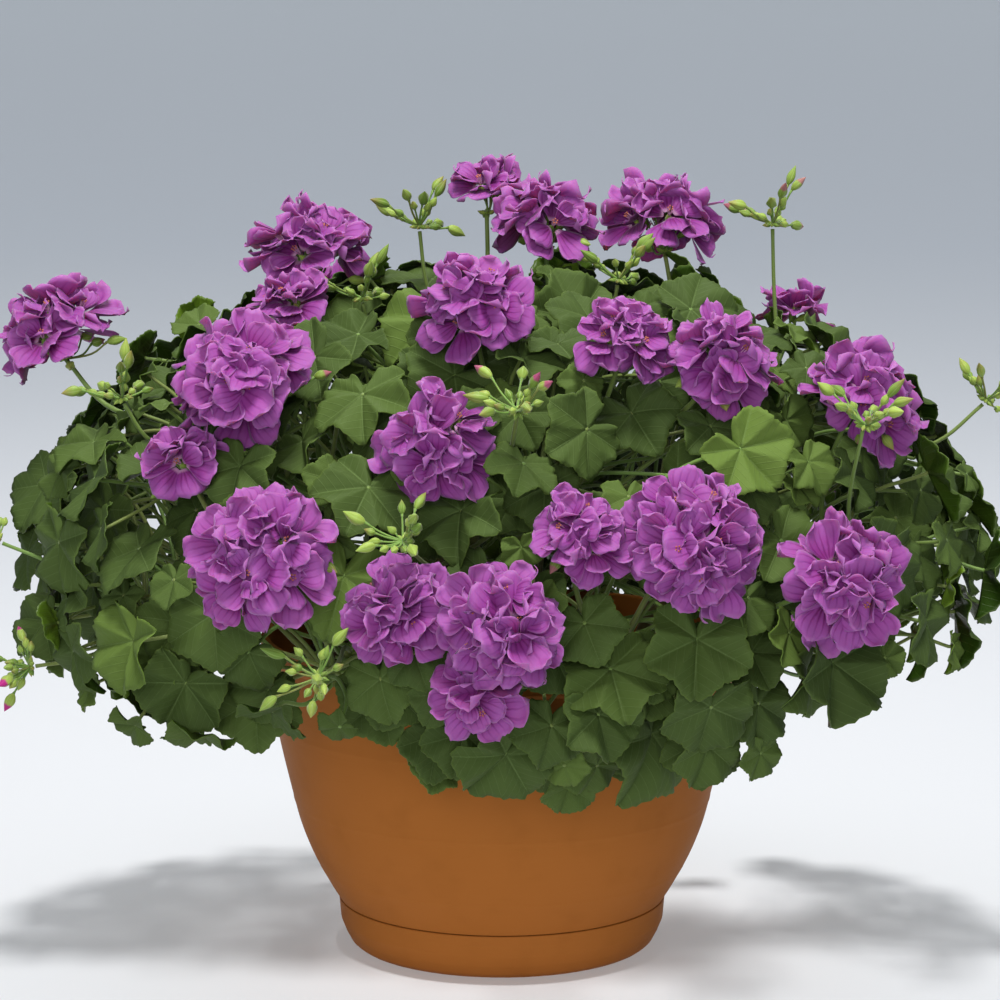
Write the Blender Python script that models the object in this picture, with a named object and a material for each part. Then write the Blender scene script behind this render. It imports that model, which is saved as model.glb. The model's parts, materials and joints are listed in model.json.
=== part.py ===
"""Potted ivy geranium: a bowl pot on its fitted saucer, potting soil, leafy shoots,
flower heads and clusters of closed buds.

Metres, +Z up. The saucer's underside is z = 0, the pot's axis is x = y = 0 and the
front of the plant faces -Y. Azimuths run from the front (-Y) towards +X.
"""

import math
import random

import bmesh
import bpy
from mathutils import Vector
from mathutils.bvhtree import BVHTree

# Pot and saucer
RIM_RADIUS = 0.155
POT_HEIGHT = 0.206
WALL = 0.003
FIT = 0.0003
ROUND_STEPS = 32
SAUCER_HEIGHT = 0.030
SAUCER_RADIUS = 0.1075
SAUCER_FOOT_RADIUS = 0.0995
SAUCER_FLOOR = 0.0025
RIM_BEAD = 0.0022
RIM_BEAD_HEIGHT = 0.010
DRAIN_HOLES = 6
DRAIN_RADIUS = 0.005
DRAIN_CIRCLE = 0.060
SHOULDER_STEP = 0.0008
BOWL_CURVE = ((0.00, 0.0), (0.07, 0.157), (0.18, 0.368), (0.29, 0.525), (0.40, 0.632), (0.60, 0.802),
              (0.74, 0.890), (0.945, 0.980))

# Soil
SOIL_BELOW_RIM = 0.024
SOIL_HEIGHT = POT_HEIGHT - SOIL_BELOW_RIM
SOIL_CROWN = 0.003
SOCKET_DEPTH = 0.015

# Mound of foliage
MOUND_OVER_RIM = 0.036
MOUND_HEIGHT = POT_HEIGHT + MOUND_OVER_RIM
MOUND_HALF_WIDTH = 0.310
MOUND_HALF_DEPTH = 0.270
MOUND_RISE = 0.195
MOUND_DROP = 0.128
MOUND_ROUNDNESS = 2.4

# Shoots: elevation of the tip, how many, first azimuth, how far from the axis they are rooted
SHOOT_RINGS = ((-6, 8, 22, 0.098), (27, 5, 12, 0.058), (64, 4, 40, 0.026))
SHOOT_DEPTH = 0.060
SHOOT_SIDES = 6
SHOOT_BASE_RADIUS = 0.0042
SHOOT_TIP_RADIUS = 0.0026
SHOOT_NODES = (0.40, 0.55, 0.68, 0.80, 0.91)
NODE_HEIGHT = 0.005
NODE_SWELL = 1.2
PETIOLE_RADIUS = 0.0013
PETIOLE_LENGTH = 0.062
STALK_RADIUS = 0.0016
STALK_LENGTH = 0.110

# Leaves
LEAF_LENGTH = 0.037
LEAF_THICKNESS = 0.0016
LEAF_COUNT = 190
LEAF_ROOM = 0.0012
LEAF_TILT = 0.42
LOWEST_LEAF = -0.42
HEM = ((-180, -0.064), (-150, -0.079), (-120, -0.044), (-90, -0.004), (-66, -0.030), (-50, -0.036),
       (-36, -0.054), (-27, -0.014), (-19, -0.028), (-12, -0.084), (6, -0.102), (24, -0.092),
       (34, -0.078), (44, -0.042), (56, -0.010), (75, 0.004), (90, 0.008), (120, -0.044),
       (150, -0.084), (180, -0.064))
LEAF_SPOTS = 700
EVEN_STEPS = (0.7548776662, 0.5698402910)
PETIOLE_STUB = 0.020
STALK_COLUMN = 0.050
BRANCH_TRIES = 60
HANDLE_SHARES = ((0.28, 0.35), (0.45, 0.30), (0.20, 0.60))
LAYOUT_SEED = 21
LOOSE_END = 0.009
BRANCH_STOPS = (0.0, 0.08, 0.40, 0.72, 1.0)
COLUMN = "column kept free for a stalk"
STUB = "stub kept free for a petiole"
BLADE_OUTLINE = ((0, 1.00), (31, 0.86), (62, 0.98), (93, 0.76), (122, 0.82), (153, 0.58),
                 (180, 0.20))

# Flower heads: azimuth, elevation, height over the mound, radius, how upright they stand
HEADS = (
    (-90, 61, 0.034, 0.041, 0.9), (-86, 30, 0.055, 0.038, 0.6), (-39, 33, 0.028, 0.048, 0.4),
    (-58, 50, 0.010, 0.027, 0.5), (90, 83, 0.040, 0.033, 0.8), (-168, 79, 0.056, 0.026, 0.8),
    (-6, 51, 0.030, 0.038, 0.4), (122, 61, 0.048, 0.040, 0.9), (22, 42, 0.022, 0.030, 0.3),
    (35, 36, 0.028, 0.031, 0.3), (55, 28, 0.022, 0.038, 0.4), (110, 38, 0.004, 0.021, 0.5),
    (-9, 27, 0.018, 0.034, 0.3), (-27, 12, 0.034, 0.048, 0.2), (22, 14, 0.030, 0.044, 0.2),
    (9, 15, 0.020, 0.026, 0.2), (38, 8, 0.032, 0.038, 0.2), (-12, 6, 0.018, 0.030, 0.2),
    (0, 5, 0.036, 0.036, 0.2), (-3, -3, 0.024, 0.020, 0.1), (-43, 21, 0.008, 0.022, 0.5),
    (150, 26, 0.020, 0.044, 0.5), (-150, 33, 0.020, 0.044, 0.5), (178, 12, 0.030, 0.044, 0.3),
    (135, 10, 0.024, 0.040, 0.3), (-138, 11, 0.024, 0.042, 0.3),
)
HEAD_SIDES = 10
HEAD_PROFILE = ((-0.62, 0.09), (-0.22, 0.76), (0.10, 1.00), (0.42, 0.82), (0.64, 0.42))
HEAD_TOP = 0.72
HEAD_LUMPS = 0.07

# Bud clusters: azimuth, elevation, height over the mound, how upright they stand, buds
BUD_CLUSTERS = (
    (-90, 77, 0.036, 1.0, 9), (-57, 61, 0.000, 0.8, 6), (-63, 27, 0.006, 0.7, 7),
    (2, 30, 0.030, 0.4, 7), (-11, 14, 0.034, 0.3, 6), (68, 68, 0.006, 0.5, 6),
    (90, 53, 0.060, 1.0, 9), (43, 23, 0.050, 0.6, 7), (-79, 6, 0.016, 0.2, 6),
    (-71, -7, 0.006, 0.1, 7), (-20, -1, 0.030, 0.1, 6), (86, 21, 0.036, 0.5, 8),
)
HUB_RADIUS = 0.0032
BUD_REACH = 0.019
BUD_LENGTH = 0.012
BUD_RADIUS = 0.0030
PEDICEL_RADIUS = 0.0007

# Leaves set one by one: azimuth, elevation, height over the mound, length, turn of the tip
SET_LEAVES = (
    (-32, -3, 0.004, 0.040, 10), (-46, 0, 0.000, 0.036, -20), (24, -15, -0.036, 0.047, 0),
    (4, -20, -0.028, 0.034, -15), (32, 24, 0.010, 0.033, 20), (4, 45, -0.004, 0.030, 40),
    (27, 57, -0.004, 0.030, -30), (13, 30, -0.004, 0.032, 10), (50, 9, 0.000, 0.040, 0),
    (55, 1, 0.000, 0.037, 20), (41, -2, -0.002, 0.040, -10), (-18, 21, -0.002, 0.036, 0),
    (-58, 17, 0.000, 0.035, 15), (-6, 19, -0.008, 0.034, -25), (-37, 3, -0.004, 0.036, 10),
    (-56, -17, -0.045, 0.036, 0), (-72, -13, -0.020, 0.033, 0), (24, 2, -0.004, 0.037, -10),
    (63, 17, 0.000, 0.037, 10), (12, -7, 0.000, 0.030, 20), (-11, -16, -0.040, 0.033, 10),
    (7, 12, -0.012, 0.034, 0), (41, 20, 0.000, 0.036, -20), (-61, 9, 0.000, 0.037, 0),
    (53, -15, -0.060, 0.034, 0), (-22, -12, -0.030, 0.034, -15), (-88, -8, 0.000, 0.038, 0),
    (88, -6, 0.000, 0.038, 0), (72, 4, 0.004, 0.038, -10), (-80, 14, 0.000, 0.036, 20),
    (38, -14, -0.040, 0.036, 10), (-38, -14, -0.036, 0.036, 0),
)

UP = Vector((0.0, 0.0, 1.0))
MOUND_CENTRE = Vector((0.0, 0.0, MOUND_HEIGHT))


# ---------------------------------------------------------------- directions and the mound

def direction(azimuth, elevation):
    """Unit vector for an azimuth from the front and an elevation, both in degrees."""
    turn = math.radians(azimuth)
    lift = math.radians(elevation)
    return Vector((math.sin(turn) * math.cos(lift), -math.cos(turn) * math.cos(lift), math.sin(lift)))


def mound_radius(way):
    """Distance from the mound's centre to its surface in a direction."""
    upright = MOUND_RISE if way.z >= 0.0 else MOUND_DROP
    terms = (way.x / MOUND_HALF_WIDTH, way.y / MOUND_HALF_DEPTH, way.z / upright)
    return sum(abs(term) ** MOUND_ROUNDNESS for term in terms) ** (-1.0 / MOUND_ROUNDNESS)


def mound_point(azimuth, elevation, over):
    """Point at a height over the mound's surface."""
    way = direction(azimuth, elevation)
    return MOUND_CENTRE + way * (mound_radius(way) + over)


def mound_normal(point):
    """Outward direction of the mound's surface near a point."""
    offset = point - MOUND_CENTRE
    upright = MOUND_RISE if offset.z >= 0.0 else MOUND_DROP
    power = MOUND_ROUNDNESS - 1.0
    slopes = []
    for value, size in zip(offset, (MOUND_HALF_WIDTH, MOUND_HALF_DEPTH, upright)):
        slopes.append(math.copysign(abs(value / size) ** power / size, value))
    return Vector(slopes).normalized()


def hem_height(point):
    """Height below which no leaf hangs, at a point's azimuth, from the hem's heights over the rim."""
    azimuth = math.degrees(math.atan2(point.x, -point.y))
    for (start, low), (end, high) in zip(HEM, HEM[1:]):
        if azimuth <= end:
            return POT_HEIGHT + low + (high - low) * (azimuth - start) / (end - start)
    return POT_HEIGHT + HEM[-1][1]


def across(vector, normal):
    """Part of a vector that lies in the plane of a normal, at unit length."""
    flat = vector - normal * vector.dot(normal)
    if flat.length < 1e-6:
        flat = normal.orthogonal()
    return flat.normalized()


# ---------------------------------------------------------------- pot profile

def bowl_profile():
    """Outer side of the bowl from the saucer's edge up to below the rim bead."""
    low = SAUCER_HEIGHT + FIT
    shoulder = SAUCER_RADIUS - SHOULDER_STEP
    return [(shoulder + (RIM_RADIUS - shoulder) * share, low + (POT_HEIGHT - low) * part)
            for part, share in BOWL_CURVE]


def bowl_radius(height):
    """Outer radius of the bowl at a height."""
    points = bowl_profile() + [(RIM_RADIUS, POT_HEIGHT)]
    for (low_radius, low), (high_radius, high) in zip(points, points[1:]):
        if height <= high:
            part = max(0.0, (height - low) / (high - low))
            return low_radius + (high_radius - low_radius) * part
    return RIM_RADIUS


def meets_pot(point, room):
    """Whether a point lies in the pot's wall or in the soil, or within a room of them."""
    radius = math.hypot(point.x, point.y)
    if point.z > POT_HEIGHT + room or radius > bowl_radius(point.z) + RIM_BEAD + room:
        return False
    if point.z > SOIL_HEIGHT + SOIL_CROWN + room:
        return radius > bowl_radius(point.z) - WALL - RIM_BEAD - room
    return True


# ---------------------------------------------------------------- centre lines

class Line:
    """A curved centre line that carries a frame along itself without twisting it."""

    def __init__(self, points, side=None):
        self.points = points
        self.marks = [0.0]
        for start, end in zip(points, points[1:]):
            self.marks.append(self.marks[-1] + (end - start).length)
        self.length = self.marks[-1]
        last = len(points) - 1
        self.tangents = []
        for index in range(len(points)):
            ahead = points[min(index + 1, last)] - points[max(index - 1, 0)]
            self.tangents.append(ahead.normalized())
        first = across(side if side else Vector((1.0, 0.2, 0.0)), self.tangents[0])
        self.sides = [first]
        for before, after in zip(self.tangents, self.tangents[1:]):
            turned = before.rotation_difference(after) @ self.sides[-1]
            self.sides.append(across(turned, after))

    def at(self, distance):
        """Point, tangent and side direction at a distance along the line."""
        index = 0
        while index < len(self.marks) - 2 and self.marks[index + 1] < distance:
            index += 1
        span = self.marks[index + 1] - self.marks[index]
        part = min(1.0, max(0.0, (distance - self.marks[index]) / span))
        point = self.points[index].lerp(self.points[index + 1], part)
        tangent = self.tangents[index].lerp(self.tangents[index + 1], part).normalized()
        side = across(self.sides[index].lerp(self.sides[index + 1], part), tangent)
        return point, tangent, side


def bend(start, start_handle, end_handle, end, stops):
    """Points of a cubic curve between two ends with two handles, at shares of the way along it."""
    points = []
    for t in stops:
        s = 1.0 - t
        points.append(start * s ** 3 + start_handle * (3 * s * s * t)
                      + end_handle * (3 * s * t * t) + end * t ** 3)
    return points


# ---------------------------------------------------------------- what is already placed

class Placed:
    """Shapes already in the plant, for keeping new ones clear of them."""

    def __init__(self):
        self.shapes = []
        self.domes = []

    def add(self, points, faces, owner):
        """Remember a shape as belonging to a shoot."""
        centre = sum(points, Vector()) / len(points)
        radius = max((point - centre).length for point in points)
        self.shapes.append((centre, radius, BVHTree.FromPolygons(points, faces), owner))

    def hits(self, points, faces, only=None, without=()):
        """Whether a shape crosses a remembered one, of one owner only or without some owners."""
        centre = sum(points, Vector()) / len(points)
        radius = max((point - centre).length for point in points)
        tree = None
        for other, reach, other_tree, owner in self.shapes:
            if owner in without or (only is not None and owner != only):
                continue
            if (other - centre).length > reach + radius:
                continue
            tree = tree or BVHTree.FromPolygons(points, faces)
            if tree.overlap(other_tree):
                return True
        return False

    def forget(self, owner):
        """Drop the shapes of an owner."""
        self.shapes = [shape for shape in self.shapes if shape[3] != owner]

    def in_dome(self, points, skip=None):
        """Whether any point lies in a flower head."""
        for number, (centre, axis, radius) in enumerate(self.domes):
            if number == skip:
                continue
            for point in points:
                offset = point - centre
                if offset.length > radius * 1.3:
                    continue
                height = offset.dot(axis) / radius
                reach = (offset - axis * offset.dot(axis)).length / radius
                if reach < dome_reach(height) + 0.12:
                    return True
        return False


def dome_reach(height):
    """Radius of a flower head of radius one at a height over its middle."""
    profile = HEAD_PROFILE + ((HEAD_TOP, 0.0),)
    if height < profile[0][0] - 0.05 or height > HEAD_TOP + 0.05:
        return -1.0
    for (low, low_reach), (high, high_reach) in zip(profile, profile[1:]):
        if height <= high:
            return low_reach + (high_reach - low_reach) * max(0.0, (height - low) / (high - low))
    return 0.0


def tube_shape(line, radius, start, end, steps):
    """Four-sided tube round a line between two distances along it, as points and faces."""
    points = []
    faces = []
    for index in range(steps + 1):
        point, tangent, side = line.at(start + (end - start) * index / steps)
        other = tangent.cross(side)
        for a, b in ((1, 1), (-1, 1), (-1, -1), (1, -1)):
            points.append(point + (side * a + other * b) * radius)
    for index in range(steps):
        for corner in range(4):
            first = index * 4 + corner
            second = index * 4 + (corner + 1) % 4
            faces.append((first, second, second + 4, first + 4))
    faces.append((3, 2, 1, 0))
    faces.append(tuple(steps * 4 + corner for corner in range(4)))
    return points, faces


# ---------------------------------------------------------------- parts of the plant

class Leaf:
    """A lobed blade: where its petiole meets it, its normal, its tip and its length."""

    def __init__(self, point, normal, tip, length, cup, wave):
        self.point = point
        self.normal = normal.normalized()
        self.tip = across(tip, self.normal)
        self.length = length
        self.cup = cup
        self.wave = wave
        self.owner = None

    def spot(self, angle, reach, over=0.0):
        """Point of the blade at an angle from the tip and a share of its length."""
        turn = math.radians(angle)
        side = self.normal.cross(self.tip)
        bow = self.cup * reach * reach + self.wave * reach * reach * math.sin(3.0 * turn)
        flat = self.tip * math.cos(turn) + side * math.sin(turn)
        return self.point + (flat * reach + self.normal * bow) * self.length + self.normal * over

    def arrive(self):
        """Direction in which the petiole reaches the blade."""
        return (self.normal * 0.8 + self.tip * 0.55).normalized()

    def petiole_end(self):
        """Where the petiole meets the blade's underside."""
        return self.point - self.normal * LEAF_THICKNESS

    def outline(self):
        """Angles and shares of the length round the blade, starting at the tip."""
        right = list(BLADE_OUTLINE)
        left = [(360 - angle, reach) for angle, reach in reversed(right[1:-1])]
        return right + left

    def shape(self, room):
        """Blade as a closed lens grown by a room, as points and faces."""
        edge = self.outline()
        grown = 1.0 + room / self.length
        points = [self.spot(angle, reach * grown) for angle, reach in edge]
        count = len(points)
        points.append(self.point + self.normal * (LEAF_THICKNESS * 0.4 + room))
        points.append(self.point - self.normal * (LEAF_THICKNESS * 0.6 + room))
        faces = []
        for index in range(count):
            after = (index + 1) % count
            faces.append((index, after, count))
            faces.append((after, index, count + 1))
        return points, faces


class Branch:
    """A petiole or a stalk: where it leaves its shoot, its line, and the leaf it may carry."""

    def __init__(self, node, side, line, radius, end_way, leaf):
        self.node = node
        self.side = side
        self.line = line
        self.radius = radius
        self.end_way = end_way
        self.leaf = leaf


class Shoot:
    """A rooted stem with swollen nodes that petioles and stalks leave from."""

    def __init__(self, number, line):
        self.number = number
        self.line = line
        self.branches = []
        self.taken = set()

    def radius(self, distance):
        """Radius of the stem at a distance from its root."""
        part = distance / self.line.length
        return SHOOT_BASE_RADIUS + (SHOOT_TIP_RADIUS - SHOOT_BASE_RADIUS) * part

    def node_distance(self, node):
        """Distance of a node from the root."""
        return self.line.length * SHOOT_NODES[node]

    def side_way(self, node, side):
        """Direction in which a side of a node faces."""
        _, tangent, first = self.line.at(self.node_distance(node))
        turn = math.radians((side + 0.5) * 360.0 / SHOOT_SIDES)
        return first * math.cos(turn) + tangent.cross(first) * math.sin(turn)

    def side_start(self, node, side):
        """Middle of a side of a node."""
        distance = self.node_distance(node)
        point, _, _ = self.line.at(distance)
        flat = self.radius(distance) * NODE_SWELL * math.cos(math.pi / SHOOT_SIDES)
        return point + self.side_way(node, side) * flat


def grow_shoots():
    """Lay out the stems from the soil to under the mound's surface."""
    shoots = []
    chance = random.Random(7)
    for elevation, count, first, rooted in SHOOT_RINGS:
        for index in range(count):
            azimuth = first + 360.0 * index / count + chance.uniform(-7, 7)
            out = direction(azimuth, 0.0)
            root = out * (rooted + chance.uniform(-0.006, 0.006))
            root.z = SOIL_HEIGHT - SOCKET_DEPTH
            leaving = root + UP * (SOCKET_DEPTH + SOIL_CROWN + 0.006)
            tip = mound_point(azimuth, elevation + chance.uniform(-4, 4), -SHOOT_DEPTH)
            heading = (out * math.cos(math.radians(elevation)) * 0.9
                       + UP * math.sin(math.radians(elevation))).normalized()
            span = (tip - leaving).length
            rise = leaving + UP * (0.050 + 0.25 * span)
            stops = [step / 20 for step in range(21)]
            points = [root] + bend(leaving, rise, tip - heading * span * 0.35, tip, stops)
            line = Line(points)
            for point in points[2:]:
                if meets_pot(point, SHOOT_BASE_RADIUS + LEAF_ROOM):
                    raise ValueError(f"shoot {len(shoots) + 1} runs into the pot")
            shoots.append(Shoot(len(shoots), line))
    return shoots


def branch_lines(shoots, target, arrive, length):
    """Free sides of nodes, best first, each with curves from it to the target."""
    found = []
    for shoot in shoots:
        for node in range(len(SHOOT_NODES)):
            middle, _, _ = shoot.line.at(shoot.node_distance(node))
            if (target - middle).length > length * 2.4:
                continue
            for side in range(SHOOT_SIDES):
                if (node, side) in shoot.taken:
                    continue
                start = shoot.side_start(node, side)
                way = shoot.side_way(node, side)
                gap = target - start
                bad = abs(gap.length - length) / length - 0.5 * way.dot(gap.normalized())
                bad -= 0.5 * arrive.dot(gap.normalized())
                found.append((bad, shoot.number, node, side))
    found.sort()
    for _, number, node, side in found[:BRANCH_TRIES]:
        shoot = shoots[number]
        start = shoot.side_start(node, side)
        way = shoot.side_way(node, side)
        _, tangent, _ = shoot.line.at(shoot.node_distance(node))
        gap = (target - start).length
        for leave_share, arrive_share in HANDLE_SHARES:
            leave = start + (way + tangent * 0.6) * gap * leave_share
            points = bend(start, leave, target - arrive * gap * arrive_share, target, BRANCH_STOPS)
            yield shoot, node, side, Line(points)


def add_branch(shoots, placed, target, arrive, length, radius, leaf=None, dome=None):
    """Grow a petiole or stalk to a target if some free node reaches it clear of the rest."""
    own = leaf.owner if leaf else None
    for shoot, node, side, line in branch_lines(shoots, target, arrive, length):
        if line.length < 3.0 * LOOSE_END:
            continue
        whole = tube_shape(line, radius + LEAF_ROOM * 0.5, 0.0, line.length, 8)
        if placed.hits(*whole, without=(shoot.number, own, STUB)) or placed.in_dome(whole[0], skip=dome):
            continue
        past_stem = tube_shape(line, radius + LEAF_ROOM * 0.5, LOOSE_END, line.length, 8)
        short_of_leaf = tube_shape(line, radius + LEAF_ROOM * 0.5, 0.0, line.length - LOOSE_END, 8)
        if placed.hits(*past_stem, only=shoot.number) or (leaf and placed.hits(*short_of_leaf, only=own)):
            continue
        if any(meets_pot(point, LEAF_ROOM) for point in whole[0]):
            continue
        placed.add(*whole, shoot.number)
        shoot.taken.add((node, side))
        end_way = leaf.normal if leaf else arrive
        shoot.branches.append(Branch(node, side, line, radius, end_way, leaf))
        return True
    return False


def head_places():
    """Centre, axis and radius of every flower head."""
    places = []
    for azimuth, elevation, over, radius, upright in HEADS:
        centre = mound_point(azimuth, elevation, over)
        axis = (direction(azimuth, elevation) * (1.0 - upright) + UP * upright).normalized()
        places.append((centre, axis, radius))
    return places


def bud_places():
    """Hub, axis and number of buds of every bud cluster."""
    places = []
    for azimuth, elevation, over, upright, count in BUD_CLUSTERS:
        hub = mound_point(azimuth, elevation, over)
        axis = (direction(azimuth, elevation) * (1.0 - upright) + UP * upright).normalized()
        places.append((hub, axis, count))
    return places


def find_leaf(placed, chance, azimuth, elevation, over, length, turn, tries):
    """Find room for a blade near a spot on the mound and keep the way to it free."""
    for attempt in range(tries):
        give = min(1.0, attempt / 6.0)
        point = mound_point(azimuth + chance.uniform(-4, 4) * give, elevation + chance.uniform(-4, 4) * give,
                            over - 0.003 * attempt)
        outward = mound_normal(point)
        tilt = Vector((chance.uniform(-1, 1), chance.uniform(-1, 1), chance.uniform(-1, 1)))
        normal = (outward * 0.55 + direction(azimuth, 30) * 0.35 + tilt * (LEAF_TILT + 0.20 * give)).normalized()
        down = outward - UP * 1.1 * (1.0 - abs(outward.z) ** 3) + direction(azimuth, 0) * 0.8
        tip = across(down, normal)
        spin = math.radians(turn + chance.uniform(-22, 22) * (0.3 + give))
        tip = tip * math.cos(spin) + normal.cross(tip) * math.sin(spin)
        size = length * (1.0 - 0.015 * attempt)
        leaf = Leaf(point, normal, tip, size, chance.uniform(-0.20, 0.16), chance.uniform(-0.09, 0.09))
        points, faces = leaf.shape(LEAF_ROOM)
        if any(spot.z < hem_height(spot) for spot in points):
            continue
        probes = points + [leaf.spot(angle, reach * 0.6) for angle, reach in leaf.outline()]
        if any(meets_pot(probe, 0.003) for probe in probes) or placed.in_dome(probes):
            continue
        end = leaf.petiole_end()
        stub = tube_shape(Line([end - leaf.arrive() * PETIOLE_STUB, end]), PETIOLE_RADIUS, 0.0,
                          PETIOLE_STUB, 2)
        if placed.hits(points, faces) or placed.hits(*stub) or placed.in_dome(stub[0]):
            continue
        leaf.owner = f"leaf {len(placed.shapes)}"
        placed.add(points, faces, leaf.owner)
        placed.add(*stub, STUB)
        return leaf
    return None


def fill_leaves(placed, chance, wanted, depth, shortest):
    """Spread leaves evenly over the mound at a depth until enough have found room."""
    made = []
    for spot in range(LEAF_SPOTS):
        if len(made) >= wanted:
            break
        share = (spot * EVEN_STEPS[0]) % 1.0
        azimuth = (spot * EVEN_STEPS[1]) % 1.0 * 360.0
        elevation = math.degrees(math.asin(LOWEST_LEAF + (1.0 - LOWEST_LEAF) * share))
        length = LEAF_LENGTH * chance.uniform(shortest, 1.05)
        over = depth + chance.uniform(-0.006, 0.006)
        leaf = find_leaf(placed, chance, azimuth, elevation, over, length, 0, 9)
        if leaf:
            made.append(leaf)
    return made


def lay_out():
    """Arrange the whole plant and return its shoots, heads and bud clusters."""
    shoots = grow_shoots()
    placed = Placed()
    for shoot in shoots:
        placed.add(*tube_shape(shoot.line, SHOOT_BASE_RADIUS + LEAF_ROOM * 0.5, SOCKET_DEPTH,
                               shoot.line.length, 14), shoot.number)
    heads = head_places()
    buds = bud_places()
    ends = []
    for centre, axis, radius in heads:
        ends.append((centre + axis * (HEAD_PROFILE[0][0] * radius - FIT), axis, STALK_LENGTH, STALK_RADIUS))
        placed.domes.append((centre, axis, radius))
    for hub, axis, _ in buds:
        ends.append((hub - axis * (HUB_RADIUS + FIT), axis, STALK_LENGTH * 0.8, STALK_RADIUS * 0.8))
        placed.domes.append((hub + axis * BUD_REACH * 0.6, axis, BUD_REACH * 1.7))
    for end, axis, _, radius in ends:
        column = Line([end - axis * STALK_COLUMN, end])
        placed.add(*tube_shape(column, radius + LEAF_ROOM, 0.0, STALK_COLUMN, 3), COLUMN)
    chance = random.Random(LAYOUT_SEED)
    leaves = []
    for azimuth, elevation, over, length, turn in SET_LEAVES:
        leaf = find_leaf(placed, chance, azimuth, elevation, over, length, turn, 14)
        if leaf:
            leaves.append(leaf)
    placed.forget(COLUMN)
    for number, (end, axis, length, radius) in enumerate(ends):
        if not add_branch(shoots, placed, end, axis, length, radius, dome=number):
            raise ValueError(f"no shoot reaches flower head or bud cluster {number + 1}")
    leaves += fill_leaves(placed, chance, LEAF_COUNT - len(leaves), -0.006, 0.72)
    leaves += fill_leaves(placed, chance, LEAF_COUNT - len(leaves), -0.030, 0.70)
    placed.forget(STUB)
    for leaf in leaves:
        add_branch(shoots, placed, leaf.petiole_end(), leaf.arrive(), PETIOLE_LENGTH, PETIOLE_RADIUS, leaf)
    return shoots, heads, buds


# ---------------------------------------------------------------- solids

def clear_scene():
    """Remove every object that the file starts with."""
    for item in list(bpy.data.objects):
        bpy.data.objects.remove(item, do_unlink=True)


def make_material(name, colour, roughness):
    """Plain Principled material."""
    material = bpy.data.materials.new(name)
    material.use_nodes = True
    shader = material.node_tree.nodes["Principled BSDF"]
    shader.inputs["Base Color"].default_value = (*colour, 1.0)
    shader.inputs["Roughness"].default_value = roughness
    return material


def add_object(name, mesh_work, material, smooth=True):
    """Turn finished mesh work into a named object."""
    bmesh.ops.recalc_face_normals(mesh_work, faces=mesh_work.faces)
    mesh = bpy.data.meshes.new(name)
    mesh_work.to_mesh(mesh)
    mesh_work.free()
    for face in mesh.polygons:
        face.use_smooth = smooth
    item = bpy.data.objects.new(name, mesh)
    bpy.context.scene.collection.objects.link(item)
    mesh.materials.append(material)
    return item


def turned(name, profile, material):
    """Round solid from a profile on +X that starts and ends on the axis."""
    work = bmesh.new()
    points = [work.verts.new((radius, 0.0, height)) for radius, height in profile]
    for start, end in zip(points, points[1:]):
        work.edges.new((start, end))
    mesh = bpy.data.meshes.new(name)
    work.to_mesh(mesh)
    work.free()
    item = bpy.data.objects.new(name, mesh)
    bpy.context.scene.collection.objects.link(item)
    mesh.materials.append(material)
    screw = item.modifiers.new("Turn", "SCREW")
    screw.axis = "Z"
    screw.steps = ROUND_STEPS
    screw.render_steps = ROUND_STEPS
    screw.use_merge_vertices = True
    screw.merge_threshold = 0.00005
    screw.use_smooth_shade = True
    return item


def cut(item, cutter, name):
    """Subtract a hidden cutter from an object."""
    cutter.hide_render = True
    cutter.display_type = "WIRE"
    boolean = item.modifiers.new(name, "BOOLEAN")
    boolean.operation = "DIFFERENCE"
    boolean.solver = "EXACT"
    boolean.object = cutter


def peg_cutter(name, places, radius, low, high, sides):
    """Cutter made of upright pegs at places on the ground plan."""
    work = bmesh.new()
    for x, y in places:
        made = bmesh.ops.create_cone(work, cap_ends=True, segments=sides, radius1=radius, radius2=radius,
                                     depth=high - low)
        bmesh.ops.translate(work, verts=made["verts"], vec=(x, y, (low + high) / 2))
    mesh = bpy.data.meshes.new(name)
    work.to_mesh(mesh)
    work.free()
    item = bpy.data.objects.new(name, mesh)
    bpy.context.scene.collection.objects.link(item)
    return item


def add_saucer(material):
    """Round saucer whose edge the bowl's shoulder rests over."""
    inner = SAUCER_RADIUS - WALL * 0.8
    profile = [(0.0, SAUCER_FLOOR), (SAUCER_FOOT_RADIUS - WALL, SAUCER_FLOOR), (inner, SAUCER_HEIGHT),
               (SAUCER_RADIUS, SAUCER_HEIGHT), (SAUCER_FOOT_RADIUS + 0.0038, 0.009),
               (SAUCER_FOOT_RADIUS, 0.0025), (SAUCER_FOOT_RADIUS - 0.003, 0.0), (0.0, 0.0)]
    return turned("saucer", profile, material)


def foot_profile():
    """Outer side of the pot's foot inside the saucer, from the bottom up to the shoulder."""
    low = SAUCER_FLOOR + FIT
    shoulder = SAUCER_HEIGHT + FIT
    edge = SAUCER_RADIUS - WALL * 0.8
    foot = SAUCER_FOOT_RADIUS - WALL
    slope = (edge - foot) / (SAUCER_HEIGHT - SAUCER_FLOOR)
    top = foot + slope * (shoulder - low) - 0.0015
    return [(foot - 0.0015, low), (top, shoulder)]


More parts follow.
